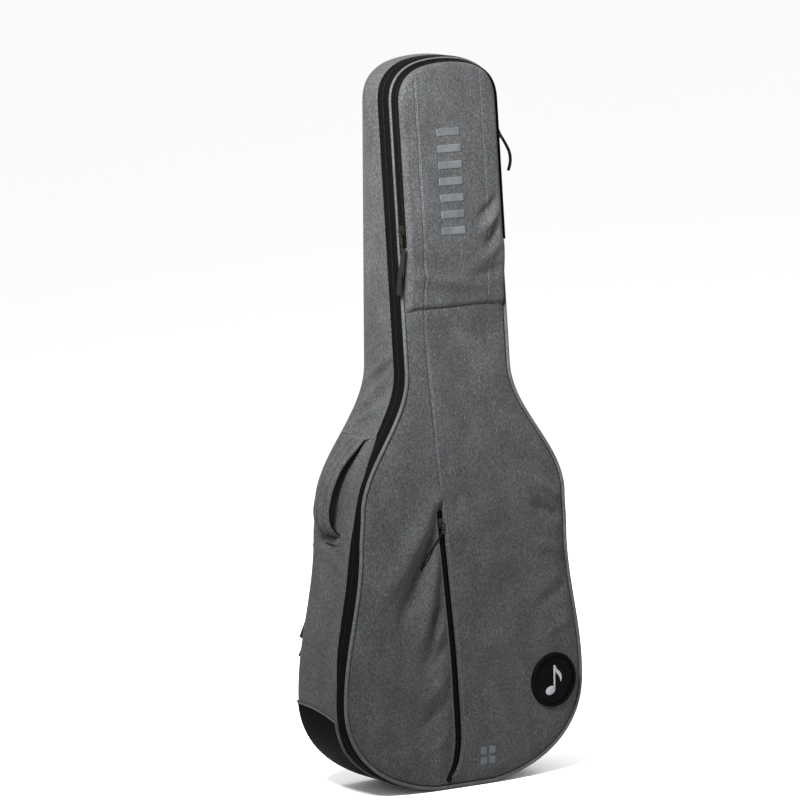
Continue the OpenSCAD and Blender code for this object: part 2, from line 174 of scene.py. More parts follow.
def half_width(z):
    """Half of the bag's width at a height above the bottom of its cover."""
    lower = ease(LOWER_BOUT_W, WAIST_W, (z - LOWER_BOUT_Z) / (WAIST_Z - LOWER_BOUT_Z))
    middle = ease(WAIST_W, UPPER_BOUT_W, (z - WAIST_Z) / (UPPER_BOUT_Z - WAIST_Z))
    upper = ease(UPPER_BOUT_W, NECK_W, (z - UPPER_BOUT_Z) / (NECK_Z - UPPER_BOUT_Z))
    return np.where(z < WAIST_Z, lower, np.where(z < UPPER_BOUT_Z, middle, upper)) / 2


def trace_half_outline():
    rise = LOWER_BOUT_Z + FOOT_SINK
    first = math.acos((1 - FOOT_SINK / rise) ** (TAIL_POWER / 2))
    a = np.linspace(first, math.pi / 2, 240)
    tail = np.stack([LOWER_BOUT_W / 2 * np.sin(a) ** (2 / TAIL_POWER),
                     rise * (1 - np.cos(a).clip(0) ** (2 / TAIL_POWER)) - FOOT_SINK], -1)
    z = np.linspace(LOWER_BOUT_Z, CROWN_Z, 700)[1:]
    side = np.stack([half_width(z), z], -1)
    crown_rise = (BAG_H - CROWN_Z) / math.sin(math.radians(CROWN_ANGLE)) ** (2 / CROWN_POWER)
    b = np.radians(np.linspace(0, CROWN_ANGLE, 160)[1:])
    crown = np.stack([NECK_W / 2 * np.cos(b) ** (2 / CROWN_POWER),
                      CROWN_Z + crown_rise * np.sin(b) ** (2 / CROWN_POWER)], -1)
    return resample(np.concatenate([tail, side, crown]), ROWS)


def outward_of(half):
    run = unit(np.gradient(half, axis=0))
    return np.stack([run[:, 1], -run[:, 0]], -1)


HALF = trace_half_outline()
OUTWARD = outward_of(HALF)
SIDE_Z = HALF[:, 1] + LIFT


def lean(z):
    """How far the front leans back at a height."""
    slope = FRONT_LEAN / (BAG_H - (LEAN_START_Z + LEAN_FULL_Z) / 2)
    span = LEAN_FULL_Z - LEAN_START_Z
    t = np.clip((z - LIFT - LEAN_START_Z) / span, 0, 1)
    return slope * (span * t * t / 2 + np.maximum(z - LIFT - LEAN_FULL_Z, 0))


def face_y(z):
    return FRONT_Y + lean(np.asarray(z, float))


def half_at(inset):
    return HALF - inset * OUTWARD + [0, LIFT]


def crown_bow(fraction):
    """Extra height of the crown between its corners, from -1 to 1 across."""
    return CROWN_BOW * (1 - fraction ** 2)


def loop_at(inset, low=ACROSS, top=ACROSS):
    """The outline moved inwards, as X and Z: along the foot, up the right, over the crown and down the left.

    low and top are the places of the points across the foot and the crown, from -1 to 1.
    """
    h = half_at(inset)
    foot = np.stack([h[0, 0] * low, np.full(len(low), h[0, 1])], -1)
    crown = np.stack([h[-1, 0] * top, h[-1, 1] + crown_bow(top)], -1)
    side = h[1:-1]
    return np.concatenate([foot, side, crown[::-1], (side * [-1, 1])[::-1]])


def bowed(across, z):
    """Heights of rows across the bag, where the last rows bend with the crown."""
    share = smooth_step((np.arange(len(z)) - len(z) + BOWED_ROWS) / (BOWED_ROWS - 1))
    return z[:, None] + crown_bow(across) * share[:, None]


def rows_across(inset):
    """X and Z of rows across the whole bag inside an inset."""
    h = half_at(inset)
    return h[:, :1] * ACROSS, bowed(ACROSS, h[:, 1])


LOOP = loop_at(0)
LOOP_COUNT = len(LOOP)
RIGHT_FIRST = COLS - 1


def right_index(z):
    """First point of a loop at or above a height on the right side."""
    return RIGHT_FIRST + int(np.searchsorted(SIDE_Z, z))


def left_index(z):
    return LOOP_COUNT - int(np.searchsorted(SIDE_Z, z))


def front_ring(inset, behind):
    """A closed loop a set depth behind the front face."""
    p = loop_at(inset)
    return upright(p, face_y(p[:, 1]) + behind)


def run_of(ring, first, last):
    """Part of a closed loop from one index on to another, round the end if needed."""
    span = (last - first) % len(ring)
    return ring[(first + np.arange(span + 1)) % len(ring)]


def edge_distance(x, z):
    """Distance in the face plane from points to the bag's outline."""
    points = np.stack([np.ravel(x), np.ravel(z)], -1)
    near = np.empty(len(points))
    for k in range(0, len(points), CHUNK):
        gap = points[k:k + CHUNK, None] - LOOP[None, ::2]
        near[k:k + CHUNK] = np.sqrt((gap ** 2).sum(-1).min(1))
    return near.reshape(np.shape(x))


# ---- Meshes ----

class Surface:
    """Grids of points in millimetres that become one mesh in metres."""

    def __init__(self):
        self.points = []
        self.faces = []
        self.count = 0

    def grid(self, points, wrap=False, close_rows=False):
        rows, cols = points.shape[:2]
        index = np.arange(rows * cols).reshape(rows, cols) + self.count
        if wrap:
            index = np.concatenate([index, index[:, :1]], 1)
        if close_rows:
            index = np.concatenate([index, index[:1]], 0)
        quads = np.stack([index[:-1, :-1], index[:-1, 1:], index[1:, 1:], index[1:, :-1]], -1)
        self.points.append(points.reshape(-1, 3))
        self.faces.extend(quads.reshape(-1, 4).tolist())
        self.count += rows * cols

    def tube(self, sections):
        """Closed cross-sections, one after another, with a cap at each end."""
        first, n = self.count, sections.shape[1]
        self.grid(sections, wrap=True)
        self.faces.append(list(range(first + n - 1, first - 1, -1)))
        self.faces.append(list(range(self.count - n, self.count)))

    def piece(self, name, material, merge=0.01):
        mesh = bpy.data.meshes.new(name)
        mesh.from_pydata((np.concatenate(self.points) * MM).tolist(), [], self.faces)
        form = bmesh.new()
        form.from_mesh(mesh)
        if merge:
            bmesh.ops.remove_doubles(form, verts=form.verts, dist=merge * MM)
            bmesh.ops.dissolve_degenerate(form, edges=form.edges, dist=merge * MM / 4)
        bmesh.ops.recalc_face_normals(form, faces=form.faces)
        for face in form.faces:
            face.smooth = True
        form.to_mesh(mesh)
        form.free()
        mesh.materials.append(material)
        return link(name, mesh)


def thicken(obj, thickness, offset=-1):
    solidify = obj.modifiers.new("thickness", "SOLIDIFY")
    solidify.thickness = thickness * MM
    solidify.offset = offset
    return obj


def place(obj, body, slot, *nodes):
    """Puts a finished piece on its body, standing for its CAD nodes, if any. The slot is not used."""
    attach(obj, body)
    if nodes:
        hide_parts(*nodes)
    return obj


def tube_piece(name, material, *runs):
    """A piece of one or more tubes, each given as a stack of closed cross-sections."""
    s = Surface()
    for sections in runs:
        s.tube(sections)
    return s.piece(name, material)


def hoop_piece(name, material, rings):
    """A tube that closes on itself, from the rings that run along it."""
    s = Surface()
    s.grid(np.array(rings).transpose(1, 0, 2), wrap=True, close_rows=True)
    return s.piece(name, material)


def frames_along(path, up):
    """Sideways and upward directions at each point of a path."""
    along = unit(np.gradient(path, axis=0))
    side = unit(np.cross(along, up))
    return side, np.cross(side, along)


def sweep(path, up, profile):
    """Sections of a profile, given as sideways and upward offsets, along a path."""
    side, top = frames_along(path, up)
    profile = np.asarray(profile, float)
    if profile.ndim == 2:
        profile = np.broadcast_to(profile, (len(path),) + profile.shape)
    return path[:, None] + profile[..., :1] * side[:, None] + profile[..., 1:] * top[:, None]


STITCH_PITCH = 4.4
STITCH_LONG = 3.0
STITCH_R = 0.45
STITCH_SINK = 0.05


def stitches(surface, path, normal):
    """Small capsules of thread along a path, lying on a surface with that normal."""
    path = np.asarray(path, float)
    normal = np.broadcast_to(np.asarray(normal, float), path.shape)
    run = run_along(path)
    at = np.arange(STITCH_PITCH / 2, run[-1], STITCH_PITCH)
    centre = at_run(path, run, at)
    reach = STITCH_LONG / 2
    direction = unit(at_run(path, run, at + reach) - at_run(path, run, at - reach))
    up = unit(at_run(normal, run, at))
    side = unit(np.cross(direction, up))
    capsule = [(-0.5, 0.35), (-0.32, 0.95), (0.32, 0.95), (0.5, 0.35)]
    for c, d, s, u in zip(centre, direction, side, up):
        ring = np.array([math.cos(k) * s + math.sin(k) * u * 0.8 for k in np.arange(6) * math.pi / 3])
        lifted = c + u * (STITCH_R * 0.6 - STITCH_SINK)
        surface.tube(np.array([lifted + d * STITCH_LONG * t + ring * STITCH_R * r for t, r in capsule]))


def stitched_piece(name, material, *lines):
    """A piece of stitching along lines, each a path and the direction that its surface faces."""
    s = Surface()
    for path, normal in lines:
        stitches(s, path, normal)
    return s.piece(name, material, merge=0)


# ---- Materials ----

def srgb(value):
    """Linear value of an sRGB level out of 255."""
    value = value / 255
    return value / 12.92 if value <= 0.04045 else ((value + 0.055) / 1.055) ** 2.4


def tone(r, g, b):
    return (srgb(r), srgb(g), srgb(b), 1)


class Shader:
    """A material whose node tree is put together one call at a time."""

    def __init__(self, name, roughness, **sockets):
        self.material = bpy.data.materials.new(name)
        self.material.use_nodes = True
        self.nodes = self.material.node_tree.nodes
        self.links = self.material.node_tree.links
        self.bsdf = self.nodes["Principled BSDF"]
        self.bsdf.inputs["Roughness"].default_value = roughness
        for key, value in sockets.items():
            self.bsdf.inputs[key.replace("_", " ")].default_value = value
        self.place = self.nodes.new("ShaderNodeTexCoord").outputs["Object"]

    def scaled(self, scale):
        """The object's coordinates, scaled by one number or by one for each axis."""
        mapping = self.nodes.new("ShaderNodeMapping")
        mapping.inputs["Scale"].default_value = np.broadcast_to(scale, 3).tolist()
        self.links.new(self.place, mapping.inputs["Vector"])
        return mapping.outputs["Vector"]

    def noise(self, scale, detail=2.0, rough=0.5):
        node = self.nodes.new("ShaderNodeTexNoise")
        node.inputs["Scale"].default_value = 1
        node.inputs["Detail"].default_value = detail
        node.inputs["Roughness"].default_value = rough
        self.links.new(self.scaled(scale), node.inputs["Vector"])
        return node.outputs["Fac"]

    def wave(self, scale, direction="X", distortion=0.0):
        node = self.nodes.new("ShaderNodeTexWave")
        node.bands_direction = direction
        node.inputs["Scale"].default_value = 1
        node.inputs["Distortion"].default_value = distortion
        self.links.new(self.scaled(scale), node.inputs["Vector"])
        return node.outputs["Fac"]

    def math(self, operation, a, b):
        node = self.nodes.new("ShaderNodeMath")
        node.operation = operation
        for socket, value in zip(node.inputs, (a, b)):
            if isinstance(value, (int, float)):
                socket.default_value = value
            else:
                self.links.new(value, socket)
        return node.outputs[0]

    def blend(self, *parts):
        """Weighted sum of values, each given as a weight and an output."""
        total = None
        for weight, value in parts:
            term = self.math("MULTIPLY", value, weight)
            total = term if total is None else self.math("ADD", total, term)
        return total

    def ramp(self, value, *stops):
        node = self.nodes.new("ShaderNodeValToRGB")
        elements = node.color_ramp.elements
        while len(elements) < len(stops):
            elements.new(0.5)
        for element, (position, colour) in zip(elements, stops):
            element.position = position
            element.color = colour
        self.links.new(value, node.inputs["Fac"])
        return node.outputs["Color"]

    def colour(self, value):
        self.links.new(value, self.bsdf.inputs["Base Color"])

    def roughness(self, value, low, high):
        node = self.nodes.new("ShaderNodeMapRange")
        node.inputs["To Min"].default_value = low
        node.inputs["To Max"].default_value = high
        self.links.new(value, node.inputs["Value"])
        self.links.new(node.outputs["Result"], self.bsdf.inputs["Roughness"])

    def bump(self, value, strength, height):
        node = self.nodes.new("ShaderNodeBump")
        node.inputs["Strength"].default_value = strength
        node.inputs["Distance"].default_value = height * MM
        self.links.new(value, node.inputs["Height"])
        self.links.new(node.outputs["Normal"], self.bsdf.inputs["Normal"])


def melange(name, low, middle, high):
    """Heathered polyester: pale and dark yarns running up the bag."""
    s = Shader(name, 0.88, Sheen_Weight=0.03, Sheen_Roughness=0.5, Specular_IOR_Level=0.06)
    flecks = s.noise((1100, 1100, 620), 3)
    streaks = s.noise((520, 520, 230), 3, 0.6)
    blotches = s.noise((26, 26, 18), 4)
    value = s.blend((0.42, flecks), (0.44, streaks), (0.14, blotches))
    s.colour(s.ramp(value, (0.3, low), (0.5, middle), (0.7, high)))
    s.roughness(streaks, 0.78, 0.92)
    warp = s.wave((520, 520, 0), "DIAGONAL")
    weft = s.wave((0, 0, 700), "Z")
    s.bump(s.blend((0.3, warp), (0.3, weft), (0.4, flecks)), 0.35, 0.25)
    return s.material


def woven(name, low, high, roughness, scale=420, sheen=0.0, gloss=0.25):
    """Plain dark cloth, tape or webbing with a fine ribbed weave."""
    s = Shader(name, roughness, Sheen_Weight=sheen, Specular_IOR_Level=gloss)
    ribs = s.wave(scale, "DIAGONAL", 0.4)
    grain = s.noise(900, 2)
    cloud = s.noise(30, 3)
    s.colour(s.ramp(s.blend((0.35, ribs), (0.35, grain), (0.3, cloud)), (0.25, low), (0.75, high)))
    s.roughness(cloud, roughness - 0.08, roughness + 0.08)
    s.bump(s.blend((0.6, ribs), (0.4, grain)), 0.5, 0.2)
    return s.material


def moulded(name, low, high, roughness, grain_height=0.05, gloss=0.4):
    """Rubber, plastic or film with a fine grain and slight wear."""
    s = Shader(name, roughness, Specular_IOR_Level=gloss)
    cloud = s.noise(55, 4)
    grain = s.noise(1600, 2)
    s.colour(s.ramp(cloud, (0.3, low), (0.7, high)))
    s.roughness(s.blend((0.6, cloud), (0.4, grain)), roughness - 0.1, roughness + 0.1)
    s.bump(grain, 0.4, grain_height)
    return s.material


def metal(name, low, high, roughness):
    s = Shader(name, roughness, Metallic=1)
    rub = s.noise((260, 260, 90), 4)
    scratch = s.noise((3000, 3000, 200), 2)
    s.colour(s.ramp(rub, (0.35, low), (0.65, high)))
    s.roughness(s.blend((0.5, rub), (0.5, scratch)), roughness - 0.12, roughness + 0.15)
    s.bump(scratch, 0.25, 0.03)
    return s.material


MELANGE = melange("melange_fabric", tone(14, 14.8, 15.8), tone(40.5, 42, 44), tone(71, 73.5, 76.5))
PIPING = melange("piping_fabric", tone(28, 29.5, 31), tone(50, 52, 54.5), tone(76, 78.5, 82))
TAPE = woven("zip_tape_weave", tone(3, 3.3, 3.8), tone(8, 8.6, 9.4), 0.85, gloss=0.01)
COIL = moulded("zip_coil_nylon", tone(4, 4, 4), tone(9, 9, 9), 0.5, gloss=0.03)
LINING = woven("lining_brushed", tone(26, 27, 29), tone(40, 41, 44), 0.9, 300, 0.1)
GUARD = woven("guard_coated_cloth", tone(3, 3, 3), tone(7, 7, 7), 0.65, 260, gloss=0.01)
STRAP = woven("strap_cloth", tone(30, 31, 34), tone(46, 48, 52), 0.88, 300, 0.1)
WEBBING = woven("webbing_weave", tone(12, 12, 13), tone(26, 26, 28), 0.75, 230, gloss=0.05)
PLASTIC = moulded("buckle_acetal", tone(14, 14, 15), tone(24, 24, 26), 0.42, gloss=0.3)
RUBBER = moulded("patch_rubber", tone(2, 2, 2), tone(6, 6, 6), 0.55, 0.08, gloss=0.02)
PRINT = moulded("patch_print", tone(96, 100, 106), tone(122, 126, 132), 0.5, gloss=0.1)
FILM = moulded("reflective_film", tone(51, 54, 57), tone(62, 66, 70), 0.45, 0.03, gloss=0.15)
BRASS = metal("dark_brass", tone(30, 28, 25), tone(56, 53, 47), 0.42)
ENAMEL = moulded("black_enamel", tone(10, 10, 11), tone(20, 20, 21), 0.35, gloss=0.25)
TAB = woven("pull_tab_tape", tone(8, 8, 9), tone(18, 18, 19), 0.8, 500, gloss=0.06)
CORD = woven("pull_cord_braid", tone(7, 7, 8), tone(17, 17, 18), 0.8, 600, gloss=0.04)
THREAD = moulded("thread", tone(60, 63, 66), tone(80, 83, 88), 0.7, gloss=0.05)
# Dark stitching thread. The same material also makes the tubes of painted shade in the ditch beside the lid's
# piping and below the wall seams.
DARK_THREAD_AND_SHADE = moulded("dark_thread_and_painted_shade", tone(14, 14, 16), tone(26, 26, 28), 0.7, gloss=0.04)


# ---- The front's relief ----

SEAM_RUN = [(-30, 14), (-18, 35), (-12, 61), (-11, 95), (-19, 206), (-31, 316), (-39, 385), (-46, 446),
            (-53, 519), (-57, 612), (-59, 704), (-64, 790), (-65, 994), (-66, 1130)]
ZIP_TOP_Z = 448
HEM_Z = 8
PANEL_EDGE = 4.7            # inset of the ditch beside the piping
ZIP_GAP = 5.6               # visible width of the music zip
RIGHT_SEAM_X = 57
BODY_PUFF = 7.0             # swell of the padded front over the body
NECK_PUFF = 2.4
FOOT_SWELL = 6
DITCH_DEPTH = 2.4           # of the seam beside the piping
SEAM_DEPTH = 1.5


def smooth_curve(points, count):
    """A smooth run through a few points, each with any number of coordinates."""
    p = np.asarray(points, float)
    p = np.concatenate([[2 * p[0] - p[1]], p, [2 * p[-1] - p[-2]]])
    out = []
    for a, b, c, d in zip(p, p[1:], p[2:], p[3:]):
        for t in np.linspace(0, 1, 24, endpoint=False):
            bend = (2 * a - 5 * b + 4 * c - d) * t ** 2 + (3 * b - a - 3 * c + d) * t ** 3
            out.append(0.5 * (2 * b + (c - a) * t + bend))
    out.append(p[-2])
    return resample(np.array(out), count)


SEAM = smooth_curve(SEAM_RUN, 300)


def seam_x(z):
    """X of the seam between the front's halves, which curves to the left at the hem."""
    return np.interp(z, SEAM[:, 1], SEAM[:, 0])


CREASE_DEPTH = 2.7


def crease(x, z, start, end, width, height):
    """A soft ridge, or a valley where the height is negative, between two points of the face."""
    start = np.array(start, float)
    run = np.array(end, float) - start
    length = np.linalg.norm(run)
    run /= length
    along = ((x - start[0]) * run[0] + (z - start[1]) * run[1]) / length
    across = (x - start[0]) * run[1] - (z - start[1]) * run[0]
    ends = smooth_step((along + 0.15) / 0.35) * smooth_step((1.15 - along) / 0.5)
    return CREASE_DEPTH * height * bump_at(across, 0, width) * ends


def ripple(x, z, size, seed):
    """A gentle, fixed unevenness of about unit height."""
    draw = np.random.default_rng(seed)
    total = np.zeros(np.shape(x))
    for _ in range(7):
        angle, phase, stretch = draw.uniform(0, math.pi), draw.uniform(0, 6.28), draw.uniform(0.6, 1.7)
        along = x * math.cos(angle) + z * math.sin(angle)
        total += np.sin(along * 6.28 * stretch / size + phase)
    return total / 3.5


LEFT_CREASES = [
    # Broad folds that fan down to the left from the top of the music zip
    ((-50, 455), (-165, 300), 17, 3.4),
    ((-50, 420), (-128, 250), 14, -3.8),
    ((-44, 392), (-98, 205), 13, 3.2),
    ((-40, 350), (-74, 190), 10, -2.6),
    # Short puckers beside the zip
    ((-34, 304), (-66, 262), 6, -1.9),
    ((-30, 272), (-66, 226), 7, 1.9),
    ((-28, 242), (-62, 198), 6, -1.7),
    ((-24, 192), (-84, 140), 10, 2.2),
    ((-22, 152), (-92, 96), 10, -2.2),
    ((-18, 112), (-58, 66), 7, 1.6),
]
RIGHT_CREASES = [
    # Pulls towards the waist and the lower bout on the right
    ((188, 452), (112, 506), 8, -2.4),
    ((186, 430), (128, 468), 7, 2.0),
    ((184, 404), (120, 432), 9, -2.2),
    ((190, 350), (120, 372), 10, 1.8),
    ((200, 300), (128, 268), 12, -1.8),
    ((206, 250), (150, 226), 10, 1.4),
    ((-20, 430), (60, 330), 24, 1.6),
    ((20, 250), (120, 330), 30, -1.4),
]


def foot_swell(z):
    """Fullness of the face just below the neck pocket, which tips it into shade."""
    return FOOT_SWELL * smooth_step((z - 700) / 45)


def face_puff(x, z, far=None):
    """How far the padded front swells out in front of the flat face."""
    far = edge_distance(x, z) if far is None else far
    depth = np.maximum(far - PANEL_EDGE, 0)
    full = BODY_PUFF - (BODY_PUFF - NECK_PUFF) * smooth_step((z - 560) / 150)
    swell = full * (1 - np.exp(-depth / 17)) + foot_swell(z) * (1 - np.exp(-depth / 9)) * (z < 780)
    return swell - DITCH_DEPTH * bump_at(depth, 0, 1.3)


def left_relief(x, z):
    """Height of the base layer: the left half of the front, and what lies under the right half."""
    far = edge_distance(x, z)
    inner = smooth_step((far - PANEL_EDGE) / 22)
    rise = face_puff(x, z, far) + 0.7 * inner * ripple(x, z, 120, 3)
    side = x - seam_x(z)
    zipped = smooth_step((ZIP_TOP_Z + 10 - z) / 30) * smooth_step((z - HEM_Z) / 12)
    folded = inner * (1 - zipped * smooth_step((side + ZIP_GAP + 15) / 12))
    for line in LEFT_CREASES:
        rise = rise + folded * crease(x, z, *line)
    lip = smooth_step((-ZIP_GAP - 0.6 - side) / 3.2)
    lip_height = 0.45 - 0.2 * smooth_step((200 - z) / 60)
    rolled = rise * (lip_height + (1 - lip_height) * smooth_step((-ZIP_GAP - 3 - side) / 30))
    open_rise = np.where(side < -ZIP_GAP - 0.6, -0.4 + (rolled + 0.4) * lip, -0.4)
    seam = rise - SEAM_DEPTH * bump_at(side, 0, 1.5)
    under = smooth_step((side - 0.5) / 3) * 1.6
    return zipped * open_rise + (1 - zipped) * (seam - under)


def right_relief(x, z):
    """Height of the music pocket's outer panel, right of the seam."""
    far = edge_distance(x, z)
    inner = smooth_step((far - PANEL_EDGE) / 22)
    rise = face_puff(x, z, far) + 0.75 * inner * ripple(x, z, 140, 11)
    for line in RIGHT_CREASES:
        rise = rise + inner * crease(x, z, *line)
    side = x - seam_x(z)
    zipped = smooth_step((ZIP_TOP_Z + 10 - z) / 30)
    proud = 0.5 + 1.5 * zipped
    fold = (1.4 + 2.2 * zipped) * bump_at(side, 0, 1.1)
    stitched = 0.55 * bump_at(x, right_line_x(z), 2.2) * smooth_step((z - 300) / 120)
    dip = 0.5 * zipped * bump_at(side, 5.5, 2.0)
    return rise + proud * inner - fold - stitched - dip


def right_line_x(z):
    """X of the faint stitched line right of the middle."""
    return RIGHT_SEAM_X + 21 * smooth_step((476 - np.asarray(z, float)) / 200)


def on_front(x, z, relief, above=0.0):
    x, z = np.broadcast_arrays(np.asarray(x, float), np.asarray(z, float))
    return np.stack([x, face_y(z) - relief(x, z) - above, z], -1)


# ---- Front lid ----

BORDER = [0, 0.5, 1.0, 1.6, 2.4, 3.5, 5, 7, 9.5, 12.5]
NEAR_SEAM = [-9.5, -8.6, -7.8, -7.0, -6.2, -5.6, -4.5, -3, -1.6, -0.6, 0.2, 1, 2, 3.2, 5, 7]
LID_EDGE = [(3.4, 3.0), (1.2, 3.6), (0.3, 5.0), (0.2, 10), (0.2, 16.7), (1.6, 16.8)]
FOLD_COLUMNS = [0, 0.4, 0.9, 1.6, 2.6, 4, 5.5, 7.5]     # distances from the pocket's folded edge
FOLD_REACH = 10
PANEL_COLUMNS = 55
PIPING_R = 2.7
DITCH_R = 0.9


def lid_columns(reach, z):
    """X across a row of the front, with points gathered round the seam."""
    seam = float(seam_x(max(z, 40)))
    fine = np.clip(seam + np.array(NEAR_SEAM), -reach * 0.9, reach * 0.9)
    left = (COLS - len(NEAR_SEAM)) * 2 // 5
    right = COLS - len(NEAR_SEAM) - left
    return np.concatenate([
        np.linspace(-reach, fine[0], left, endpoint=False), fine,
        np.linspace(fine[-1], reach, right + 1)[1:]
    ])


def face_grid(inset, relief):
    """Rows across the face, inside the border rings."""
    h = half_at(inset)
    x = np.array([lid_columns(reach, z) for reach, z in h])
    return on_front(x, bowed(x / h[:, :1], h[:, 1]), relief)


def border_ring(inset, relief):
    """One ring of the border, with its foot and crown points in line with the face's columns."""
    inner = half_at(PANEL_EDGE + BORDER[-1])
    low, top = (lid_columns(*inner[k]) / inner[k, 0] for k in (0, -1))
    p = loop_at(inset, low, top)
    return on_front(p[:, 0], p[:, 1], relief)


def build_lid_front():
    """The front's left half, its neck, and the edge wall under the zip tape."""
    s = Surface()
    rings = [border_ring(PANEL_EDGE + d, left_relief) for d in reversed(BORDER)]
    for inset, behind in LID_EDGE:
        ring = border_ring(inset, left_relief)
        ring[:, 1] = face_y(ring[:, 2]) + behind
        rings.append(ring)
    s.grid(np.array(rings), wrap=True)
    s.grid(face_grid(PANEL_EDGE + BORDER[-1], left_relief))
    obj = s.piece("lid_front_panel", MELANGE)
    place(obj, "front_lid", "melange_fabric", "lid_cover")


def level_row(x, z):
    return np.stack([x, np.full(len(x), z)], -1)


def build_right_panel():
    """The music pocket's outer panel: a sheet with a folded edge along the zip."""
    near = np.concatenate([FOLD_COLUMNS, np.full(PANEL_COLUMNS, FOLD_REACH)])
    share = np.concatenate([np.zeros(len(FOLD_COLUMNS)), np.linspace(0, 1, PANEL_COLUMNS)])
    borders = [PANEL_EDGE + d for d in reversed(BORDER[1:])]
    inner = half_at(borders[0])
    keep = inner[:, 1] < POCKET_FOOT_Z + 8
    rows = []
    for reach, z in inner[keep]:
        left = float(seam_x(z))
        rows.append(level_row(left + near + share * (reach - left - FOLD_REACH), z))
    low = rows[0][:, 0]
    share = (low - low[0]) / (low[-1] - low[0])
    corner_points = [half_at(inset)[0] for inset in borders]
    feet = [level_row(low[0] + share * (x - low[0]), z) for x, z in corner_points]
    sides = [half_at(inset)[keep] for inset in borders]
    s = Surface()
    for flat in (np.array(rows), np.array(sides), np.array(feet)):
        s.grid(on_front(flat[..., 0], flat[..., 1], right_relief))
    obj = s.piece("music_pocket_front", MELANGE)
    place(obj, "front_lid", "melange_fabric", "music_pocket_panel")


def build_piping():
    """A cord of cloth round the front, slimmer round the neck, and a dark cord in the ditch beside it as
    painted shade.
    """
    rings = []
    for c, s in circle(1, 12):
        wide = front_ring(1.7 + PIPING_R * c, -0.2 + PIPING_R * s)
        slim = front_ring(0.9 + 1.5 * c, -0.2 + 1.8 * s)
        rings.append(wide + (slim - wide) * smooth_step((wide[:, 2:] - 730) / 110))
    place(hoop_piece("lid_piping", PIPING, rings), "front_lid", "piping", "front_piping")
    # A dark cord laid in the ditch beside the piping: painted shade where the ditch falls into shadow.
    rings = [front_ring(4.6 + c, 1.1 + s) for c, s in circle(DITCH_R, 8)]
    place(hoop_piece("lid_piping_painted_shade", DARK_THREAD_AND_SHADE, rings), "front_lid", "piping")


# ---- Main zip ----

ZIP_FIRST = right_index(HINGE_TOP_Z)
ZIP_LAST = right_index(ZIP_TAIL_Z)
LID_BAND = [(0.0, 3.4), (-0.9, 4.2), (-1.5, 6), (-1.8, 9), (-1.7, 12), (-1.5, 14.4), (-0.9, 15.3),
            (0.1, 15.3), (0.15, 9)]
SHELL_BAND = [(0.1, 18.9), (-0.9, 18.9), (-1.5, 19.8), (-1.8, 23), (-1.7, 27), (-1.3, 30.2), (-0.6, 31.4),
              (0.15, 31.4), (0.15, 25)]
GUSSET_PROFILE = [(0.2, 3.8), (-0.9, 4.6), (-1.3, 8), (-0.9, 12), (-0.5, 17), (-0.9, 22), (-1.3, 27),
                  (-0.9, 30.6), (0.3, 31.4)]
GUSSET_STEPS = 4        # rows of the mesh to each step of its profile


def strip(profile, first, last):
    """A strip along the outline from a profile of insets and depths behind the front."""
    return np.array([run_of(front_ring(inset, behind), first, last) for inset, behind in profile])


def build_zip_bands():
    for name, profile, node, body in [("lid_zip_band", LID_BAND, "front_zip_tape", "front_lid"),
                                      ("shell_zip_band", SHELL_BAND, "rear_zip_tape", "back_shell")]:
        sections = strip(profile, ZIP_FIRST, ZIP_LAST).transpose(1, 0, 2)
        place(tube_piece(name, TAPE, sections), body, "zip_tape", node)


def ridged_cord(name, path, up, radius, pitch, depth):
    """A piece shaped as a cord, with a ridge for each tooth of a zip's coil."""
    run = run_along(path)
    at = np.arange(0, run[-1], pitch / 4)
    swell = radius + depth * np.cos(2 * np.pi * at / pitch)
    up = at_run(np.broadcast_to(up, path.shape), run, at)
    s = Surface()
    s.tube(sweep(at_run(path, run, at), up, swell[:, None, None] * circle(1, 8)))
    return s.piece(name, COIL, merge=0)


def outward_along(first, last):
    """Directions out of the bag along part of its outline."""
    return unit(run_of(front_ring(-1, 0) - front_ring(0, 0), first, last))


def build_main_coil():
    path = run_of(front_ring(-0.6, 17.1), ZIP_FIRST, ZIP_LAST)
    coil = ridged_cord("main_zip_teeth", path, outward_along(ZIP_FIRST, ZIP_LAST), 1.35, 2.4, 0.22)
    place(coil, "back_shell", "zip_coil", "main_zip_coil")


def build_hinge_gusset():
    """Soft fabric that joins lid and shell where there is no zip."""
    steps = np.arange(len(GUSSET_PROFILE))
    fine = np.linspace(0, steps[-1], steps[-1] * GUSSET_STEPS + 1)
    profile = at_run(np.array(GUSSET_PROFILE), steps, fine)
    s = Surface()
    s.grid(strip(profile, right_index(ZIP_TAIL_Z) - 2, right_index(HINGE_TOP_Z) + 2))
    obj = thicken(s.piece("hinge_gusset_cloth", MELANGE), 1)
    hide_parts("hinge_gusset")
    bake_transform(obj)


# ---- Back shell ----

WALL_SEAM_Z = 553
WALL_STEPS = 26
CORNER_STEPS = 9
WALL_PUFF = 2.2
BACK_PUFF = 3.6
SHELL_EDGE = [(1.4, 17.4), (0.2, 18.2), (0.2, 30.2)]
WALL_PULLS = [
    # Height, slope and size of the creases across the side wall
    (568, 0.3, -3.6),
    (582, 0.5, 5.0),
    (600, 0.7, -5.6),
    (618, 0.8, 5.2),
    (640, 0.6, -4.4),
    (654, 0.5, 3.0),
    (384, -0.6, -3.4),
    (368, -0.5, 3.0),
]
WALL_OVERLAP = [(60, 0), (90, 8), (130, 13), (180, 13), (220, 7), (280, 1), (350, 0), (385, 7), (425, 14),
                (460, 21), (500, 21), (535, 13), (565, 4), (590, 0)]


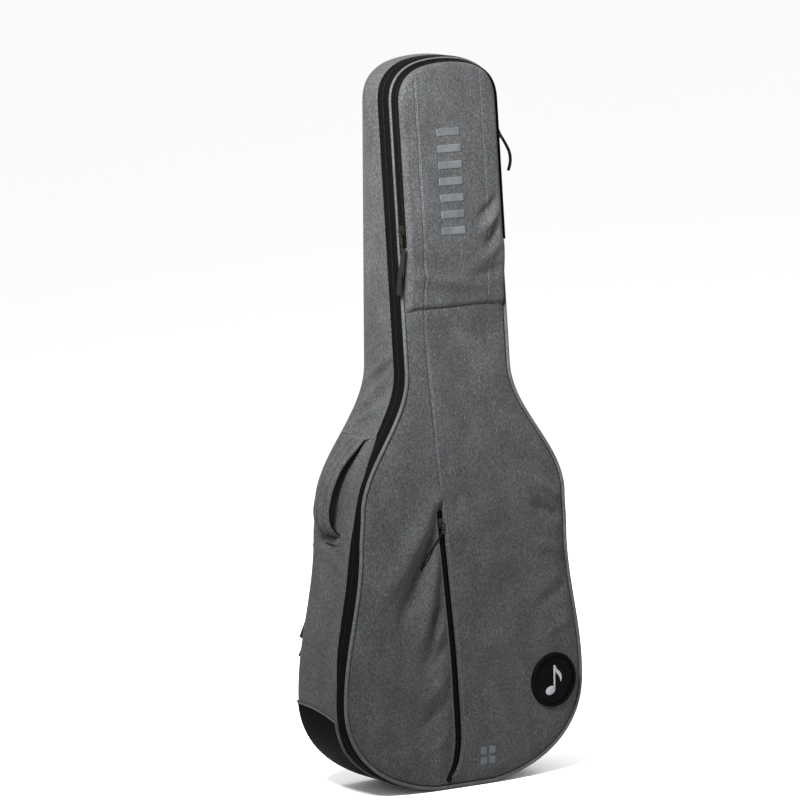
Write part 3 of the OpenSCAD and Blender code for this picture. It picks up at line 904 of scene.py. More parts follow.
def wall_swell(x, z, t):
    """Outward swell of the side wall at a share of its depth."""
    arch = np.sin(np.pi * np.clip(t, 0, 1))
    seam = 1.1 * smooth_step((z - WALL_SEAM_Z) / 2) * smooth_step((WALL_SEAM_Z + 26 - z) / 24)
    reach = 0.35 + 0.65 * np.sin(np.pi * t)
    pulls = 0.0
    for height, tilt, size in WALL_PULLS:
        pulls = pulls + size * bump_at(z, height - tilt * 90 * (t - 0.5), 6.5) * reach
    on_left = smooth_step((-x - 60) / 40)
    uneven = 0.5 * ripple(z, 90 * t, 150, 5) * arch
    return WALL_PUFF * arch ** 0.7 + seam + uneven + pulls * (0.4 + 0.6 * on_left)


def overlap_at(x, z):
    """How far the left wall's cloth bulges forward over the zip band."""
    heights, amounts = zip(*WALL_OVERLAP)
    return np.interp(z, heights, amounts) * smooth_step((-x - 40) / 60)


def wall_ring(t, out=0.0):
    """A ring of the side wall, from beside the zip tape at 0 to the start of the back's rounding at 1."""
    p = loop_at(0)
    x, z = p[:, 0], p[:, 1]
    over = overlap_at(x, z)
    near, far = face_y(z) + TAPE_END - over, BACK_Y - BACK_R
    swell = wall_swell(x, z, t) + out + 2.6 * np.minimum(over / 4, 1) * np.exp(-t * 7)
    swell = np.where(z < LIFT + 30, np.minimum(swell, 1.4 + out), swell)
    return upright(p + unit(loop_at(-1) - p) * swell[:, None], near + (far - near) * t)


def corner_ring(a, out=0.0):
    """A ring of the rounding into the back, at an angle from the wall."""
    r = BACK_R + out
    return upright(loop_at(BACK_R - r * math.cos(a)), BACK_Y - BACK_R + r * math.sin(a))


def back_relief(x, z):
    """How far the padded back swells out."""
    far = np.maximum(edge_distance(x, z) - BACK_R, 0)
    return BACK_PUFF * (1 - np.exp(-far / 30)) + 0.4 * smooth_step(far / 20) * ripple(x, z, 130, 21)


def build_shell():
    depths = np.concatenate([[0.008, 0.02, 0.04], np.linspace(0.07, 1, WALL_STEPS)])
    rings = [front_ring(inset, behind) for inset, behind in SHELL_EDGE]
    rings += [wall_ring(t) for t in depths]
    rings += [corner_ring(a) for a in np.linspace(0, math.pi / 2, CORNER_STEPS)[1:]]
    s = Surface()
    s.grid(np.array(rings), wrap=True)
    x, z = rows_across(BACK_R)
    s.grid(np.stack([x, BACK_Y + back_relief(x, z), z], -1))
    obj = s.piece("shell_body", MELANGE)
    place(obj, "back_shell", "melange_fabric", "shell_cover")


# ---- Linings ----

WALL_THICKNESS = 15     # foam and lining of the back shell
LINING_R = 9
LID_FLOOR = 12.9        # depth of the lid's lining behind the front
SHELL_RIM = [(1.2, 0.6), (3.2, 0), (8, -0.1), (12.6, 0), (14.6, 1.4), (15, 5)]
LID_RIM = [(1.2, -0.4), (3.2, 0), (8, 0.1), (11, -0.2), (12.6, -1.6), (13, -2.1), (14.6, -3.3), (17, -3.6)]


def lining_piece(name, body, rings, floor_y, inset, nodes):
    """The lining: an edge binding, the inner wall and a padded floor."""
    s = Surface()
    s.grid(np.array(rings), wrap=True)
    x, z = rows_across(inset)
    far = np.maximum(edge_distance(x, z) - inset, 0)
    puff = 3.0 * (1 - np.exp(-far / 25)) + 0.5 * smooth_step(far / 20) * ripple(x, z, 110, 31)
    floor = floor_y(z)
    s.grid(np.stack([x, floor - puff * np.sign(floor), z], -1))
    obj = s.piece(name, LINING)
    place(obj, body, "lining_fabric", *nodes)


def build_linings():
    shell = [front_ring(inset, LID_DEPTH + 0.5 + behind) for inset, behind in SHELL_RIM]
    for a in np.linspace(0, math.pi / 2, 6):
        ring = loop_at(WALL_THICKNESS + LINING_R * (1 - math.cos(a)))
        shell.append(upright(ring, BACK_Y - WALL_THICKNESS - LINING_R * (1 - math.sin(a))))
    lining_piece("shell_inside", "back_shell", shell, lambda z: np.full(z.shape, BACK_Y - WALL_THICKNESS),
                 WALL_THICKNESS + LINING_R, ("shell_foam", "shell_lining"))
    lid = [front_ring(inset, LID_DEPTH - 0.5 + behind) for inset, behind in LID_RIM]
    lining_piece("lid_inside", "front_lid", lid, lambda z: face_y(z) + LID_FLOOR,
                 LID_RIM[-1][0], ("lid_foam", "lid_lining"))


# ---- Bottom guard ----

GUARD_BACK_Z = 140
GUARD_FRONT_Z = 122
GUARD_PROUD = 1.1
GUARD_PIPING_R = 1.45
GUARD_CENTRE_Z = 330     # the guard's piping stands out from this height on the bag's middle line


def guard_top(t):
    """Height of the guard's upper edge at a share of the wall's depth."""
    return GUARD_BACK_Z - (GUARD_BACK_Z - GUARD_FRONT_Z) * (1 - t) ** 2.3


def guard_line(ring, top):
    """The part of a ring below a height: from it on the left, under the tail, and up to it on the right."""
    part = run_of(ring, left_index(top) - 5, right_index(top) + 5)
    below = np.flatnonzero(part[:, 2] < top)
    first, last = below[0], below[-1]
    ends = []
    for inner, outer in ((first, first - 1), (last, last + 1)):
        a, b = part[inner], part[outer]
        ends.append(a + (b - a) * (top - a[2]) / (b[2] - a[2]))
    return resample(np.concatenate([ends[:1], part[first:last + 1], ends[1:]]), 260)


def build_guard():
    lines = [guard_line(wall_ring(t, GUARD_PROUD if t > 0.08 else 0.2), guard_top(t))
             for t in np.linspace(0.06, 1, 16)]
    lines += [guard_line(corner_ring(a, GUARD_PROUD if a < 1.3 else 0.1), GUARD_BACK_Z)
              for a in np.linspace(0, math.radians(80), 9)[1:]]
    lines = np.array(lines)
    lines[..., 2] = np.maximum(lines[..., 2], 0.15)
    s = Surface()
    s.grid(lines)
    place(thicken(s.piece("tail_guard", GUARD), 1.0), "back_shell", "guard_rubber", "bottom_guard")
    path = resample(np.concatenate([lines[:0:-1, 0], lines[0], lines[1:, -1]]), 420)
    out = unit((path - [0, 0, GUARD_CENTRE_Z]) * [1, 0, 1])
    path = path + 0.7 * out
    path[:, 2] = np.maximum(path[:, 2], GUARD_PIPING_R + 0.15)
    piping = tube_piece("tail_guard_piping", PIPING, sweep(path, out, circle(GUARD_PIPING_R, 8)))
    place(piping, "back_shell", "piping", "guard_piping")


# ---- Neck pocket ----

EDGE_DROPS = [(9, 0), (6.5, 0.1), (4.4, 0.7), (2.6, 2.0), (1.2, 3.8), (0.3, 6.0), (0, 8.2)]
FLAP_CREASES = [
    # Slack towards the lower right corner and the fold line
    ((92, 915), (34, 872), 8, -2.4),
    ((90, 893), (40, 856), 7, 2.0),
    ((90, 868), (50, 832), 8, -2.4),
    ((90, 846), (40, 812), 8, 1.6),
    ((-92, 856), (-58, 806), 8, -1.8),
    ((88, 800), (16, 788), 10, -1.6),
    ((-90, 800), (20, 778), 10, 1.6),
    ((-92, 966), (-76, 900), 6, -1.2),
    ((-94, 1046), (-72, 1012), 7, -1.2),
]
LOWER_TAPE = [(2.2, 0.3), (2.6, 1.0), (4.5, 2.2), (4.4, 5), (4.7, 7.8), (5.4, 8.8), (6.6, 8.9), (7.6, 8.6),
              (7.8, 0.2)]
UPPER_TAPE = [(11.4, 10.0), (5.4, 10.1), (4.8, 10.8), (4.7, 12), (4.9, 13.2), (5.6, 13.8), (11.4, 13.9),
              (11.4, 10.4)]
LOWER_TAPE_Z = FOLD_LEVEL + 3
UPPER_TAPE_Z = FOLD_LEVEL + 12


def pocket_depth(z):
    """How far the pocket's front stands off the lid's face."""
    z = np.asarray(z, float)
    main = POCKET_OUT - 8.5 * smooth_step((FOLD_LEVEL + 6 - z) / 80)
    return main * smooth_step((z - POCKET_FOOT_Z) / 15) ** 0.7


def pocket_relief(x, z):
    reach = half_width(z - LIFT) - POCKET_INSET
    edge = np.maximum(reach - np.abs(x), 0)
    top = np.maximum(BAG_H + LIFT - POCKET_INSET - z, 0)
    far = np.minimum(edge, top)
    inner = smooth_step(far / 26)
    rise = pocket_depth(z) + 3.2 * (1 - np.exp(-far / 16)) * smooth_step((z - POCKET_FOOT_Z - 8) / 40)
    side = x - seam_x(z)
    rise = rise - SEAM_DEPTH * bump_at(side, 0, 0.9) + 0.5 * bump_at(side, 3, 2.4)
    rise = rise - 0.6 * bump_at(x, RIGHT_SEAM_X, 1.6)
    for line in FLAP_CREASES:
        rise = rise + 0.8 * inner * crease(x, z, *line)
    return rise + 0.6 * inner * ripple(x, z, 90, 41)


def pocket_columns(reach, z):
    """X across a row of the pocket, with points gathered round its two seams."""
    fine = np.array([-4, -2.6, -1.6, -0.9, -0.3, 0.3, 0.9, 1.6, 2.6, 4])
    left = np.clip(float(seam_x(z)) + fine, -reach * 0.93, 0)
    right = np.clip(RIGHT_SEAM_X + fine, 0, reach * 0.93)
    return np.concatenate([
        np.linspace(-reach, left[0], 8, endpoint=False), left,
        np.linspace(left[-1], right[0], 30)[1:-1], right,
        np.linspace(right[-1], reach, 11)[1:]
    ])


def pocket_half(inset):
    """The right side of the pocket's outline, as X and Z."""
    return half_at(inset)[half_at(0)[:, 1] >= POCKET_FOOT_Z]


def pocket_loop(inset):
    """From the foot up the right side, over the crown and down the left, as X and Z."""
    side = pocket_half(inset)
    inner = half_at(POCKET_INSET + EDGE_DROPS[0][0])[-1]
    top_x = (pocket_columns(*inner) / inner[0])[::-1][1:-1]
    crown = np.stack([side[-1, 0] * top_x, side[-1, 1] + crown_bow(top_x)], -1)
    return np.concatenate([side, crown, (side * [-1, 1])[::-1]])


def drawn_in(points):
    """The pocket's front with its right edge set in a little, so that the zip tape shows beside it."""
    x, z = points[..., 0], points[..., 2]
    points[..., 0] = x - 2.5 * smooth_step((x - 62) / 22) * smooth_step((z - FOLD_LEVEL - 8) / 14)
    return points


def pocket_rim(z):
    """Depth of the open edge: at the zip above the fold line, and on the lid's face below it."""
    return (POCKET_SPLIT + 0.6) * smooth_step((z - FOLD_LEVEL - 6) / 7) + 1.0


def pocket_edge():
    """Rings round the pocket's edge, from its front face back to its rim."""
    full = EDGE_DROPS[-1][1]
    rings = []
    for inset, drop in EDGE_DROPS:
        p = pocket_loop(POCKET_INSET + inset)
        room = np.maximum(pocket_depth(p[:, 1]) - pocket_rim(p[:, 1]), 0.2)
        rise = pocket_relief(p[:, 0], p[:, 1]) - np.minimum(drop, room * drop / full)
        rings.append(upright(p, face_y(p[:, 1]) - rise))
    rings.append(upright(p, face_y(p[:, 1]) - pocket_rim(p[:, 1])))
    return np.array(rings)


def build_pocket_front():
    s = Surface()
    s.grid(drawn_in(pocket_edge()))
    side = pocket_half(POCKET_INSET + EDGE_DROPS[0][0])
    x = np.array([pocket_columns(reach, z) for reach, z in side])
    s.grid(drawn_in(on_front(x, bowed(x / side[:, :1], side[:, 1]), pocket_relief)))
    obj = thicken(s.piece("neck_pocket_front", MELANGE), 1.2)
    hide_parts("neck_pocket_flap", "neck_pocket_foot")
    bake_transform(obj)


def pocket_band(profile, low):
    """A strip round the pocket's side from a height on the right to the same height on the left."""
    first, last = right_index(low), left_index(low)
    band = np.array([run_of(front_ring(inset, -out), first, last) for inset, out in profile])
    band[..., 0] += 2.6 * smooth_step(band[..., 0] / 70)
    return band


def build_pocket_zip():
    for name, profile, low, body, nodes in [
            ("neck_pocket_side_tape", LOWER_TAPE, LOWER_TAPE_Z, "front_lid",
             ("neck_pocket_tape", "neck_pocket_gusset")),
            ("neck_flap_side_tape", UPPER_TAPE, UPPER_TAPE_Z, "neck_flap", ("flap_zip_tape",))]:
        sections = pocket_band(profile, low).transpose(1, 0, 2)
        place(tube_piece(name, TAPE, sections), body, "zip_tape", *nodes)
    out = outward_along(right_index(UPPER_TAPE_Z), left_index(UPPER_TAPE_Z))
    teeth = ridged_cord("neck_zip_teeth", pocket_band([(5.2, 9.45)], UPPER_TAPE_Z)[0], out, 1.0, 2.0, 0.16)
    place(teeth, "front_lid", "zip_coil", "neck_pocket_coil")


# ---- Music pocket zip ----

MUSIC_BAND = [(-8.4, 0.3), (-6.6, 0.5), (-5.6, 0.7), (-4.4, 0.8), (-1, 0.8), (0.6, 0.7), (1.8, 0.3)]


def beside_seam(z, off, rise):
    """A line at a distance from the seam, a little in front of the flat face."""
    return np.stack([seam_x(z) + off, face_y(z) - rise, z], -1)


def build_music_zip():
    z = np.linspace(HEM_Z + 3, ZIP_TOP_Z + 14, 160)
    s = Surface()
    s.grid(np.array([beside_seam(z, off, rise) for off, rise in MUSIC_BAND]))
    place(thicken(s.piece("music_zip_band", TAPE), 0.5, 0), "front_lid", "zip_tape", "music_zip_tape")
    teeth = ridged_cord("music_zip_teeth", beside_seam(z, -3.0, 1.7), FORWARD, 0.95, 2.0, 0.15)
    place(teeth, "front_lid", "zip_coil", "music_zip_coil")


# ---- Patch and prints ----

PATCH_AT = tuple((corners("rubber_patch")[0] + corners("rubber_patch")[1])[[0, 2]] / 2)
PATCH_R = 43
FILM_T = 0.35
# Profiles of the patch, as insets from its edge and heights
PATCH_DISC = [(42.99, 1.9), (33, 1.9), (15, 1.9), (6.0, 1.85), (5.2, 1.4), (4.4, 1.4)]
PATCH_RIM = [(4.6, 1.2), (4.4, 3.3), (3.9, 4.0), (3.0, 4.3), (1.6, 4.3), (0.7, 3.9), (0.1, 3.0), (0, 1.4),
             (0, -1.2), (1, -2.2)]
QUAVER_STEM = [(-0.8, -14), (2.2, -14), (2.2, 23), (-0.8, 23)]
QUAVER_FLAG = [(2.0, 23), (2.0, 13), (7, 8), (11, 3), (13, -5), (15, 2), (14, 8), (10, 13), (5, 17)]


def patch_basis():
    """Centre and directions of the patch, resting on the swollen panel."""
    around = circle(PATCH_R - 6, 24) + PATCH_AT
    ring = on_front(around[:, 0], around[:, 1], right_relief)
    plane = np.column_stack([ring[:, 0], ring[:, 2], np.ones(len(ring))])
    slopes = np.linalg.lstsq(plane, ring[:, 1], rcond=None)[0]
    right = unit([1, slopes[0], 0])
    out = unit(np.cross(right, [0, slopes[1], 1]))
    if out[1] > 0:
        out = -out
    up = np.cross(out, right)
    up = up if up[2] > 0 else -up
    return ring.mean(0) + 0.3 * out, (right, up, out)


def turned_piece(name, profile, centre, basis):
    """A piece of rubber turned round the patch's axis."""
    right, up, out = basis
    spokes = circle(1, 96) @ np.array([right, up])
    rings = [centre + (PATCH_R - inset) * spokes + height * out for inset, height in profile]
    s = Surface()
    s.grid(np.array(rings), wrap=True)
    return s.piece(name, RUBBER)


def rotated(points, degrees):
    """Flat points turned round their origin."""
    a = math.radians(degrees)
    return np.asarray(points, float) @ np.array([[math.cos(a), math.sin(a)], [-math.sin(a), math.cos(a)]])


def outline_plate(surface, outline, centre, basis, low, high, bevel=0.5):
    """A flat plate with a bevelled edge from an outline in the patch's plane."""
    right, up, out = basis
    outline = np.asarray(outline, float)
    middle = outline.mean(0)
    inner = middle + (outline - middle) * (1 - bevel / np.linalg.norm(outline - middle, axis=1).mean())
    layers = [(outline, low), (outline, high - bevel * 0.6), (inner, high)]
    rings = [centre + flat @ np.array([right, up]) + height * out for flat, height in layers]
    surface.grid(np.array(rings), wrap=True)
    surface.faces.append(list(range(surface.count - len(outline), surface.count)))


def build_patch():
    centre, basis = patch_basis()
    for name, profile, node in [("patch_disc", PATCH_DISC, "rubber_patch"),
                                ("patch_edge", PATCH_RIM, "patch_rim")]:
        place(turned_piece(name, profile, centre, basis), "front_lid", "patch_rubber", node)
    quaver = Surface()
    head = rotated(circle(1, 40) * [9.4, 6.6], 18) + [-7, -16]
    for outline in (head, QUAVER_STEM, QUAVER_FLAG):
        outline_plate(quaver, outline, centre, basis, 1.6, 2.9)
    place(quaver.piece("patch_note", PRINT, merge=0), "front_lid", "patch_print", "patch_emblem")


def draped_print(surface, relief, centre, size, above, steps, corner=2.2):
    """A thin rounded rectangle of film that follows the fabric below it."""
    x, z = (np.linspace(-0.5, 0.5, count) * length for count, length in zip(steps, size))
    gx, gz = np.meshgrid(x, z)
    trim = np.maximum(np.abs(gz) - size[1] / 2 + corner, 0)
    limit = size[0] / 2 - corner + np.sqrt(np.maximum(corner ** 2 - trim ** 2, 0))
    gx = np.clip(gx, -limit, limit)
    surface.grid(on_front(centre[0] + gx, centre[1] + gz, relief, above))


def build_prints():
    hem = Surface()
    for dx in (-8, 8):
        for dz in (-8, 8):
            draped_print(hem, right_relief, (38 + dx, 47 + dz), (12, 12), 0.5, (10, 10))
    squares = thicken(hem.piece("hem_squares", FILM, merge=0), FILM_T)
    place(squares, "front_lid", "reflective_print", "hem_motif")
    bars = Surface()
    for k in range(-3, 4):
        draped_print(bars, pocket_relief, (-8, 938 + 25 * k), (44, 12), 0.45, (24, 8))
    column = thicken(bars.piece("flap_bars", FILM, merge=0), FILM_T)
    place(column, "neck_flap", "reflective_print", "flap_motif")


# ---- Side handle ----

HANDLE_Y = 2
HANDLE_W = 40
HANDLE_HIGH = 5.0
HANDLE_UNDER = 0.36
HANDLE_OUT = (-1, 0, 0.25)      # roughly the way that the handle's face looks
CHANNEL_AT = 0.42        # place of the handle's stitched channels, as a share of its half width
CHANNEL_DEPTH = 0.45
HANDLE_RUN = [(-146, 553), (-152, 546), (-164, 534), (-190, 508), (-206, 478), (-214, 450), (-214, 430),
              (-207, 415), (-192, 403)]


def grip_section():
    """Cross-section of the handle's face, with a stitched channel near each edge."""
    near = CHANNEL_AT + np.array([-0.2, -0.14, -0.1, -0.06, -0.03, 0, 0.03, 0.06, 0.1, 0.14, 0.2])
    rim = np.array([0.7, 0.78, 0.86, 0.93, 0.975, 1])
    v = np.concatenate([-rim[::-1], -near[::-1], [0], near, rim])
    crown = np.maximum(1 - np.abs(v) ** 7, 0) ** 0.5
    channel = 1 - CHANNEL_DEPTH * bump_at(np.abs(v), CHANNEL_AT, 0.1)
    upper = np.stack([v * HANDLE_W / 2, HANDLE_HIGH * crown * channel], -1)
    lower = np.stack([v * HANDLE_W / 2, -HANDLE_UNDER * crown], -1)
    return np.concatenate([upper, lower[-2:0:-1]])


def sole_section():
    """Cross-section of the strip under the handle, a little wider than its face."""
    half = HANDLE_W / 2 + 1.2
    right = np.array([(half - 0.8, 0.2), (half, -0.4), (half, -2.0), (half - 1.2, -2.9)])
    left = right[::-1] * [-1, 1]
    return np.concatenate([left[-1:], right, left[:-1]])


def sewn_down(obj, slot, *nodes):
    """Keeps a piece of the handle still where it is sewn to the wall."""
    if nodes:
        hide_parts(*nodes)
    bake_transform(obj)


def build_handle():
    flat = smooth_curve(HANDLE_RUN, 70)
    path = upright(flat, HANDLE_Y)
    t = np.linspace(0, 1, len(path))
    thin = 0.3 + 0.7 * smooth_step(t / 0.16) * smooth_step((1 - t) / 0.1)
    scale = np.stack([np.ones(len(path)), thin], -1)[:, None]
    grip = tube_piece("handle_grip", MELANGE, sweep(path, HANDLE_OUT, grip_section() * scale))
    sewn_down(grip, "melange_fabric", "handle_face")
    sole = tube_piece("handle_underside", TAPE, sweep(path, HANDLE_OUT, sole_section() * scale))
    sewn_down(sole, "zip_tape", "handle_lining")
    side, top = frames_along(path, HANDLE_OUT)
    height = (HANDLE_HIGH * thin * (1.0 - CHANNEL_DEPTH) + 0.2)[:, None]
    lines = [path + v * HANDLE_W / 2 * side + height * top for v in (-CHANNEL_AT, CHANNEL_AT)]
    thread = stitched_piece("handle_stitching", DARK_THREAD_AND_SHADE, *[(line[3:-3], top[3:-3]) for line in lines])
    sewn_down(thread, "melange_fabric")


def build_wall_plate(name, z, length, node):
    """A stitched reinforcement lying on the wall where the handle is sewn in."""
    zs = np.linspace(z - length / 2, z + length / 2, 14)
    ys = np.linspace(-HANDLE_W / 2 - 1, HANDLE_W / 2 + 1, 20)
    gz, gy = np.meshgrid(zs, ys, indexing="ij")
    edge_z = np.minimum(gz - zs[0], zs[-1] - gz) / 2.5
    edge_y = np.minimum(gy - ys[0], ys[-1] - gy) / 2.5
    edge = np.minimum(1, edge_z) * np.minimum(1, edge_y)
    swell = 2.7 + 0.5 * np.maximum(edge, 0) ** 0.5
    s = Surface()
    s.grid(np.stack([-half_width(gz - LIFT) - swell, gy + HANDLE_Y, gz], -1))
    place(thicken(s.piece(name, MELANGE), 1.4), "back_shell", "melange_fabric", node)


# ---- Shoulder straps ----

STRAP_TOP = np.array([-48.0, 598 + LIFT])
STRAP_FOOT = np.array([-196.0, 226 + LIFT])
STRAP_LIFT = 12
STRAP_RISE = 32
STRAP_T = 9
PAD_HALF_T = 4.4
PAD_HALF_W = 30
PAD_CHANNEL = 0.8        # place of the pad's stitched channels, as a share of its half width
WEB_HALF = [(-12.5, 0.0), (-12.1, 0.7), (-6, 0.85), (0, 0.9), (6, 0.85), (12.1, 0.7), (12.5, 0.0)]
# Rings of a plate on the back, as shares of its outline and of its thickness
PLATE_RINGS = [(1.0, 0.2), (1.0, 0.55), (0.985, 0.85), (0.95, 1.0), (0.86, 0.9), (0.82, 1.0), (0.6, 1.0),
               (0.3, 1.0), (0.02, 1.0)]
PLATE_STITCHES = (0.86, 0.9)


def strap_arc(start, end, depth, side, count):
    """Points of a strap's arc over its chord, from one share of its half angle to another."""
    chord = STRAP_TOP - STRAP_FOOT
    length = np.linalg.norm(chord)
    up = chord / length
    middle = (STRAP_TOP + STRAP_FOOT) / 2
    radius = length ** 2 / (8 * STRAP_RISE) + STRAP_RISE / 2
    half = math.asin(length / 2 / radius)
    a = np.linspace(start, end, count) * half
    r = radius - depth
    along = r * np.sin(a)
    rise = r * np.cos(a) - (radius - STRAP_RISE)
    flat = (middle + along[:, None] * up) * [side, 1]
    return upright(flat, BACK_Y + STRAP_LIFT + rise)


def build_strap_pad(body, side):
    path = strap_arc(0.96, -0.22, STRAP_T / 2, side, 70)
    t = np.linspace(0, 1, len(path))
    width = PAD_HALF_W * (1 - 0.45 * smooth_step((t - 0.82) / 0.18)) * (0.78 + 0.22 * smooth_step(t / 0.14))
    height = PAD_HALF_T * (0.45 + 0.55 * smooth_step(t / 0.08) * smooth_step((1 - t) / 0.08))
    v = np.linspace(-1, 1, 28)
    crown = np.maximum(1 - np.abs(v) ** 6, 0) ** 0.5 * (1 - 0.35 * bump_at(np.abs(v), PAD_CHANNEL, 0.06))
    section = both_sides(np.stack([v, crown], -1))
    sections = sweep(path, BACKWARD, section * np.stack([width, height], -1)[:, None])
    pad = tube_piece(body + "_cushion", STRAP, sections)
    place(pad, body, "strap_fabric", body + "_pad")
    across, top = frames_along(path, BACKWARD)
    lines = [path + (v * width)[:, None] * across + (height * 0.6)[:, None] * top
             for v in (-PAD_CHANNEL, PAD_CHANNEL)]
    thread = stitched_piece(body + "_stitching", DARK_THREAD_AND_SHADE, *[(line[6:-2], top[6:-2]) for line in lines])
    place(thread, body, "strap_fabric")


def build_strap(label, side):
    body = label + "_strap"
    build_strap_pad(body, side)
    web = strap_arc(-0.16, -1.0, STRAP_T / 2 + 0.9, side, 60)
    slack = np.sin(np.pi * np.linspace(0, 1, len(web)))
    web += slack[:, None] * [10 * side, -7, 0]
    webbing = tube_piece(body + "_web", WEBBING, sweep(web, BACKWARD, both_sides(WEB_HALF)))
    place(webbing, body, "webbing", body + "_webbing")


def build_back_plate(name, outline, thickness, material, slot, node):
    """A padded, stitched plate on the back, from its outline in X and Z."""
    outline = np.asarray(outline, float)
    middle = outline.mean(0)
    dense = resample(np.concatenate([outline, outline[:1]]), 161)[:-1]

    def ring(share, height):
        p = middle + (dense - middle) * share
        return upright(p, BACK_Y + back_relief(p[:, 0], p[:, 1]) * 0.9 + thickness * height)

    s = Surface()
    s.grid(np.array([ring(share, height) for share, height in PLATE_RINGS]), wrap=True)
    place(s.piece(name, material), "back_shell", slot, node)
    path = ring(*PLATE_STITCHES)
    thread = stitched_piece(name + "_stitching", THREAD, (np.concatenate([path, path[:1]]), BACKWARD))
    place(thread, "back_shell", slot)


def build_back_fittings():
    z = STRAP_TOP[1] + 12
    yoke = [(-84, z), (84, z), (62, z - 48), (-62, z - 48)]
    build_back_plate("strap_yoke_pad", yoke, 6, STRAP, "strap_fabric", "strap_yoke")
    foot = rotated([(-14, 13), (14, 13), (17, -16), (-17, -16)], -22) + STRAP_FOOT + [6, -12]
    for label, side in (("left", 1), ("right", -1)):
        build_back_plate(label + "_strap_foot", foot * [side, 1], 3, WEBBING, "webbing",
                         label + "_strap_anchor")


# ---- Zip pulls ----

TAB_HALF = np.array([(-1, 0), (-0.92, 0.8), (-0.6, 1), (0.6, 1), (0.92, 0.8), (1, 0)])
CORD_R = 0.85
KNOT_R = 1.9
KNOT_RINGS = 7
KNOT_STEP = 1.3


def build_tab(label, path, up, width, thickness):
    section = both_sides(TAB_HALF * [width / 2, thickness / 2])
    tab = tube_piece(label + "_strap", TAB, sweep(path, up, section))
    place(tab, label, "pull_tab", label + "_tab")


def build_pulls():
    low, high = corners("neck_pull_tab")
    x, y = (low[0] + high[0]) / 2, (low[1] + high[1]) / 2
    path = smooth_curve([(x, y - 3, high[2] + 3), (x - 2, y - 3, high[2] - 14), (x - 6, y - 2, high[2] - 36),
                         (x - 8, y, low[2])], 40)
    build_tab("neck_pull", path, (-0.75, -0.66, 0), 7.5, 2.2)
    low, high = corners("main_pull_tab")
    x, y = low[0], (low[1] + high[1]) / 2
    path = smooth_curve([(x - 1, y + 1, high[2] + 4), (x + 8, y, high[2] - 10), (x + 15, y - 1, high[2] - 24),
                         (x + 16, y - 2, high[2] - 38), (x + 11.5, y - 3, high[2] - 52)], 50)
    build_tab("main_pull", path, (1, 0, 0), 6, 2.4)


def cord_run(eye, bow):
    """One run of the cord from its eye, bowed to one side and lying on the front."""
    run = []
    for t, spread in [(0, 0.5), (0.12, 1.0), (0.4, 0.75), (0.7, 2.6), (0.88, 2.2), (1, 0.3)]:
        x = eye[0] - 2 - 33 * t + bow * spread
        z = eye[2] - 2 - 54 * t + bow * spread * 0.5
        y = on_front([x], [z], left_relief)[0, 1] - 1.4
        run.append((x, y + (eye[1] - y) * (1 - smooth_step(t / 0.3)), z))
    return run


def build_music_cord():
    """A thin cord looped through the pull, its two runs meeting at the end."""
    low, high = corners("music_zip_pull")
    eye = np.array([(low[0] + high[0]) / 2, (low[1] + high[1]) / 2, low[2] + 4])
    s = Surface()
    for bow in (-1, 1):
        s.tube(sweep(smooth_curve(cord_run(eye, bow), 60), FORWARD, circle(CORD_R, 8)))
    knot = np.array(cord_run(eye, 0)[-1])
    level = np.insert(circle(KNOT_R, 12), 2, 0, axis=1)
    s.tube(np.array([knot + [0, 0, (k - 3) * KNOT_STEP] + math.sin(math.pi * (k + 0.5) / KNOT_RINGS) * level
                     for k in range(KNOT_RINGS)]))
    place(s.piece("music_pull_loop", CORD, merge=0), "music_pull", "pull_cord", "music_pull_cord")


# ---- Stitching on the cover ----

WALL_FOLD_R = 1.3
FOLD_LIFT = 6.2          # how far the fold rises over the handle's sewn end


def wall_line(side, z):
    """A line across one side wall at a height, from beside the zip to the start of the back's rounding."""
    line = []
    for t in np.linspace(0.03, 1, 40):
        ring = wall_ring(t)
        half = ring[RIGHT_FIRST:RIGHT_FIRST + ROWS] if side > 0 else ring[:LOOP_COUNT - ROWS:-1]
        line.append([np.interp(z, half[:, 2], half[:, k]) for k in range(3)])
    return np.array(line)


def on_front_line(x, z, relief):
    """A line of stitching on the front, with the way that it faces."""
    return on_front(x, z, relief), FORWARD


def build_front_stitching():
    z = np.linspace(470, POCKET_FOOT_Z, 200)
    line = on_front_line(right_line_x(z), z, right_relief)
    faint = stitched_piece("front_right_stitching", PIPING, line)
    place(faint, "front_lid", "melange_fabric")
    seam = np.linspace(HEM_Z + 12, POCKET_FOOT_Z, 300)
    zipped = np.linspace(HEM_Z + 20, ZIP_TOP_Z + 6, 200)
    front = stitched_piece("front_stitching", THREAD, on_front_line(seam_x(seam) + 3.4, seam, right_relief),
                           on_front_line(seam_x(zipped) - ZIP_GAP - 5.6, zipped, left_relief))
    place(front, "front_lid", "melange_fabric")
    for name, body, low, high, count in [
            ("flap_stitching", "neck_flap", FOLD_LEVEL + 10, BAG_H - 14, 200),
            ("foot_stitching", "front_lid", POCKET_FOOT_Z + 22, FOLD_LEVEL - 8, 60)]:
        z = np.linspace(low, high, count)
        lines = [on_front_line(x, z, pocket_relief) for x in (seam_x(z) + 3.2, RIGHT_SEAM_X)]
        place(stitched_piece(name, THREAD, *lines), body, "melange_fabric")


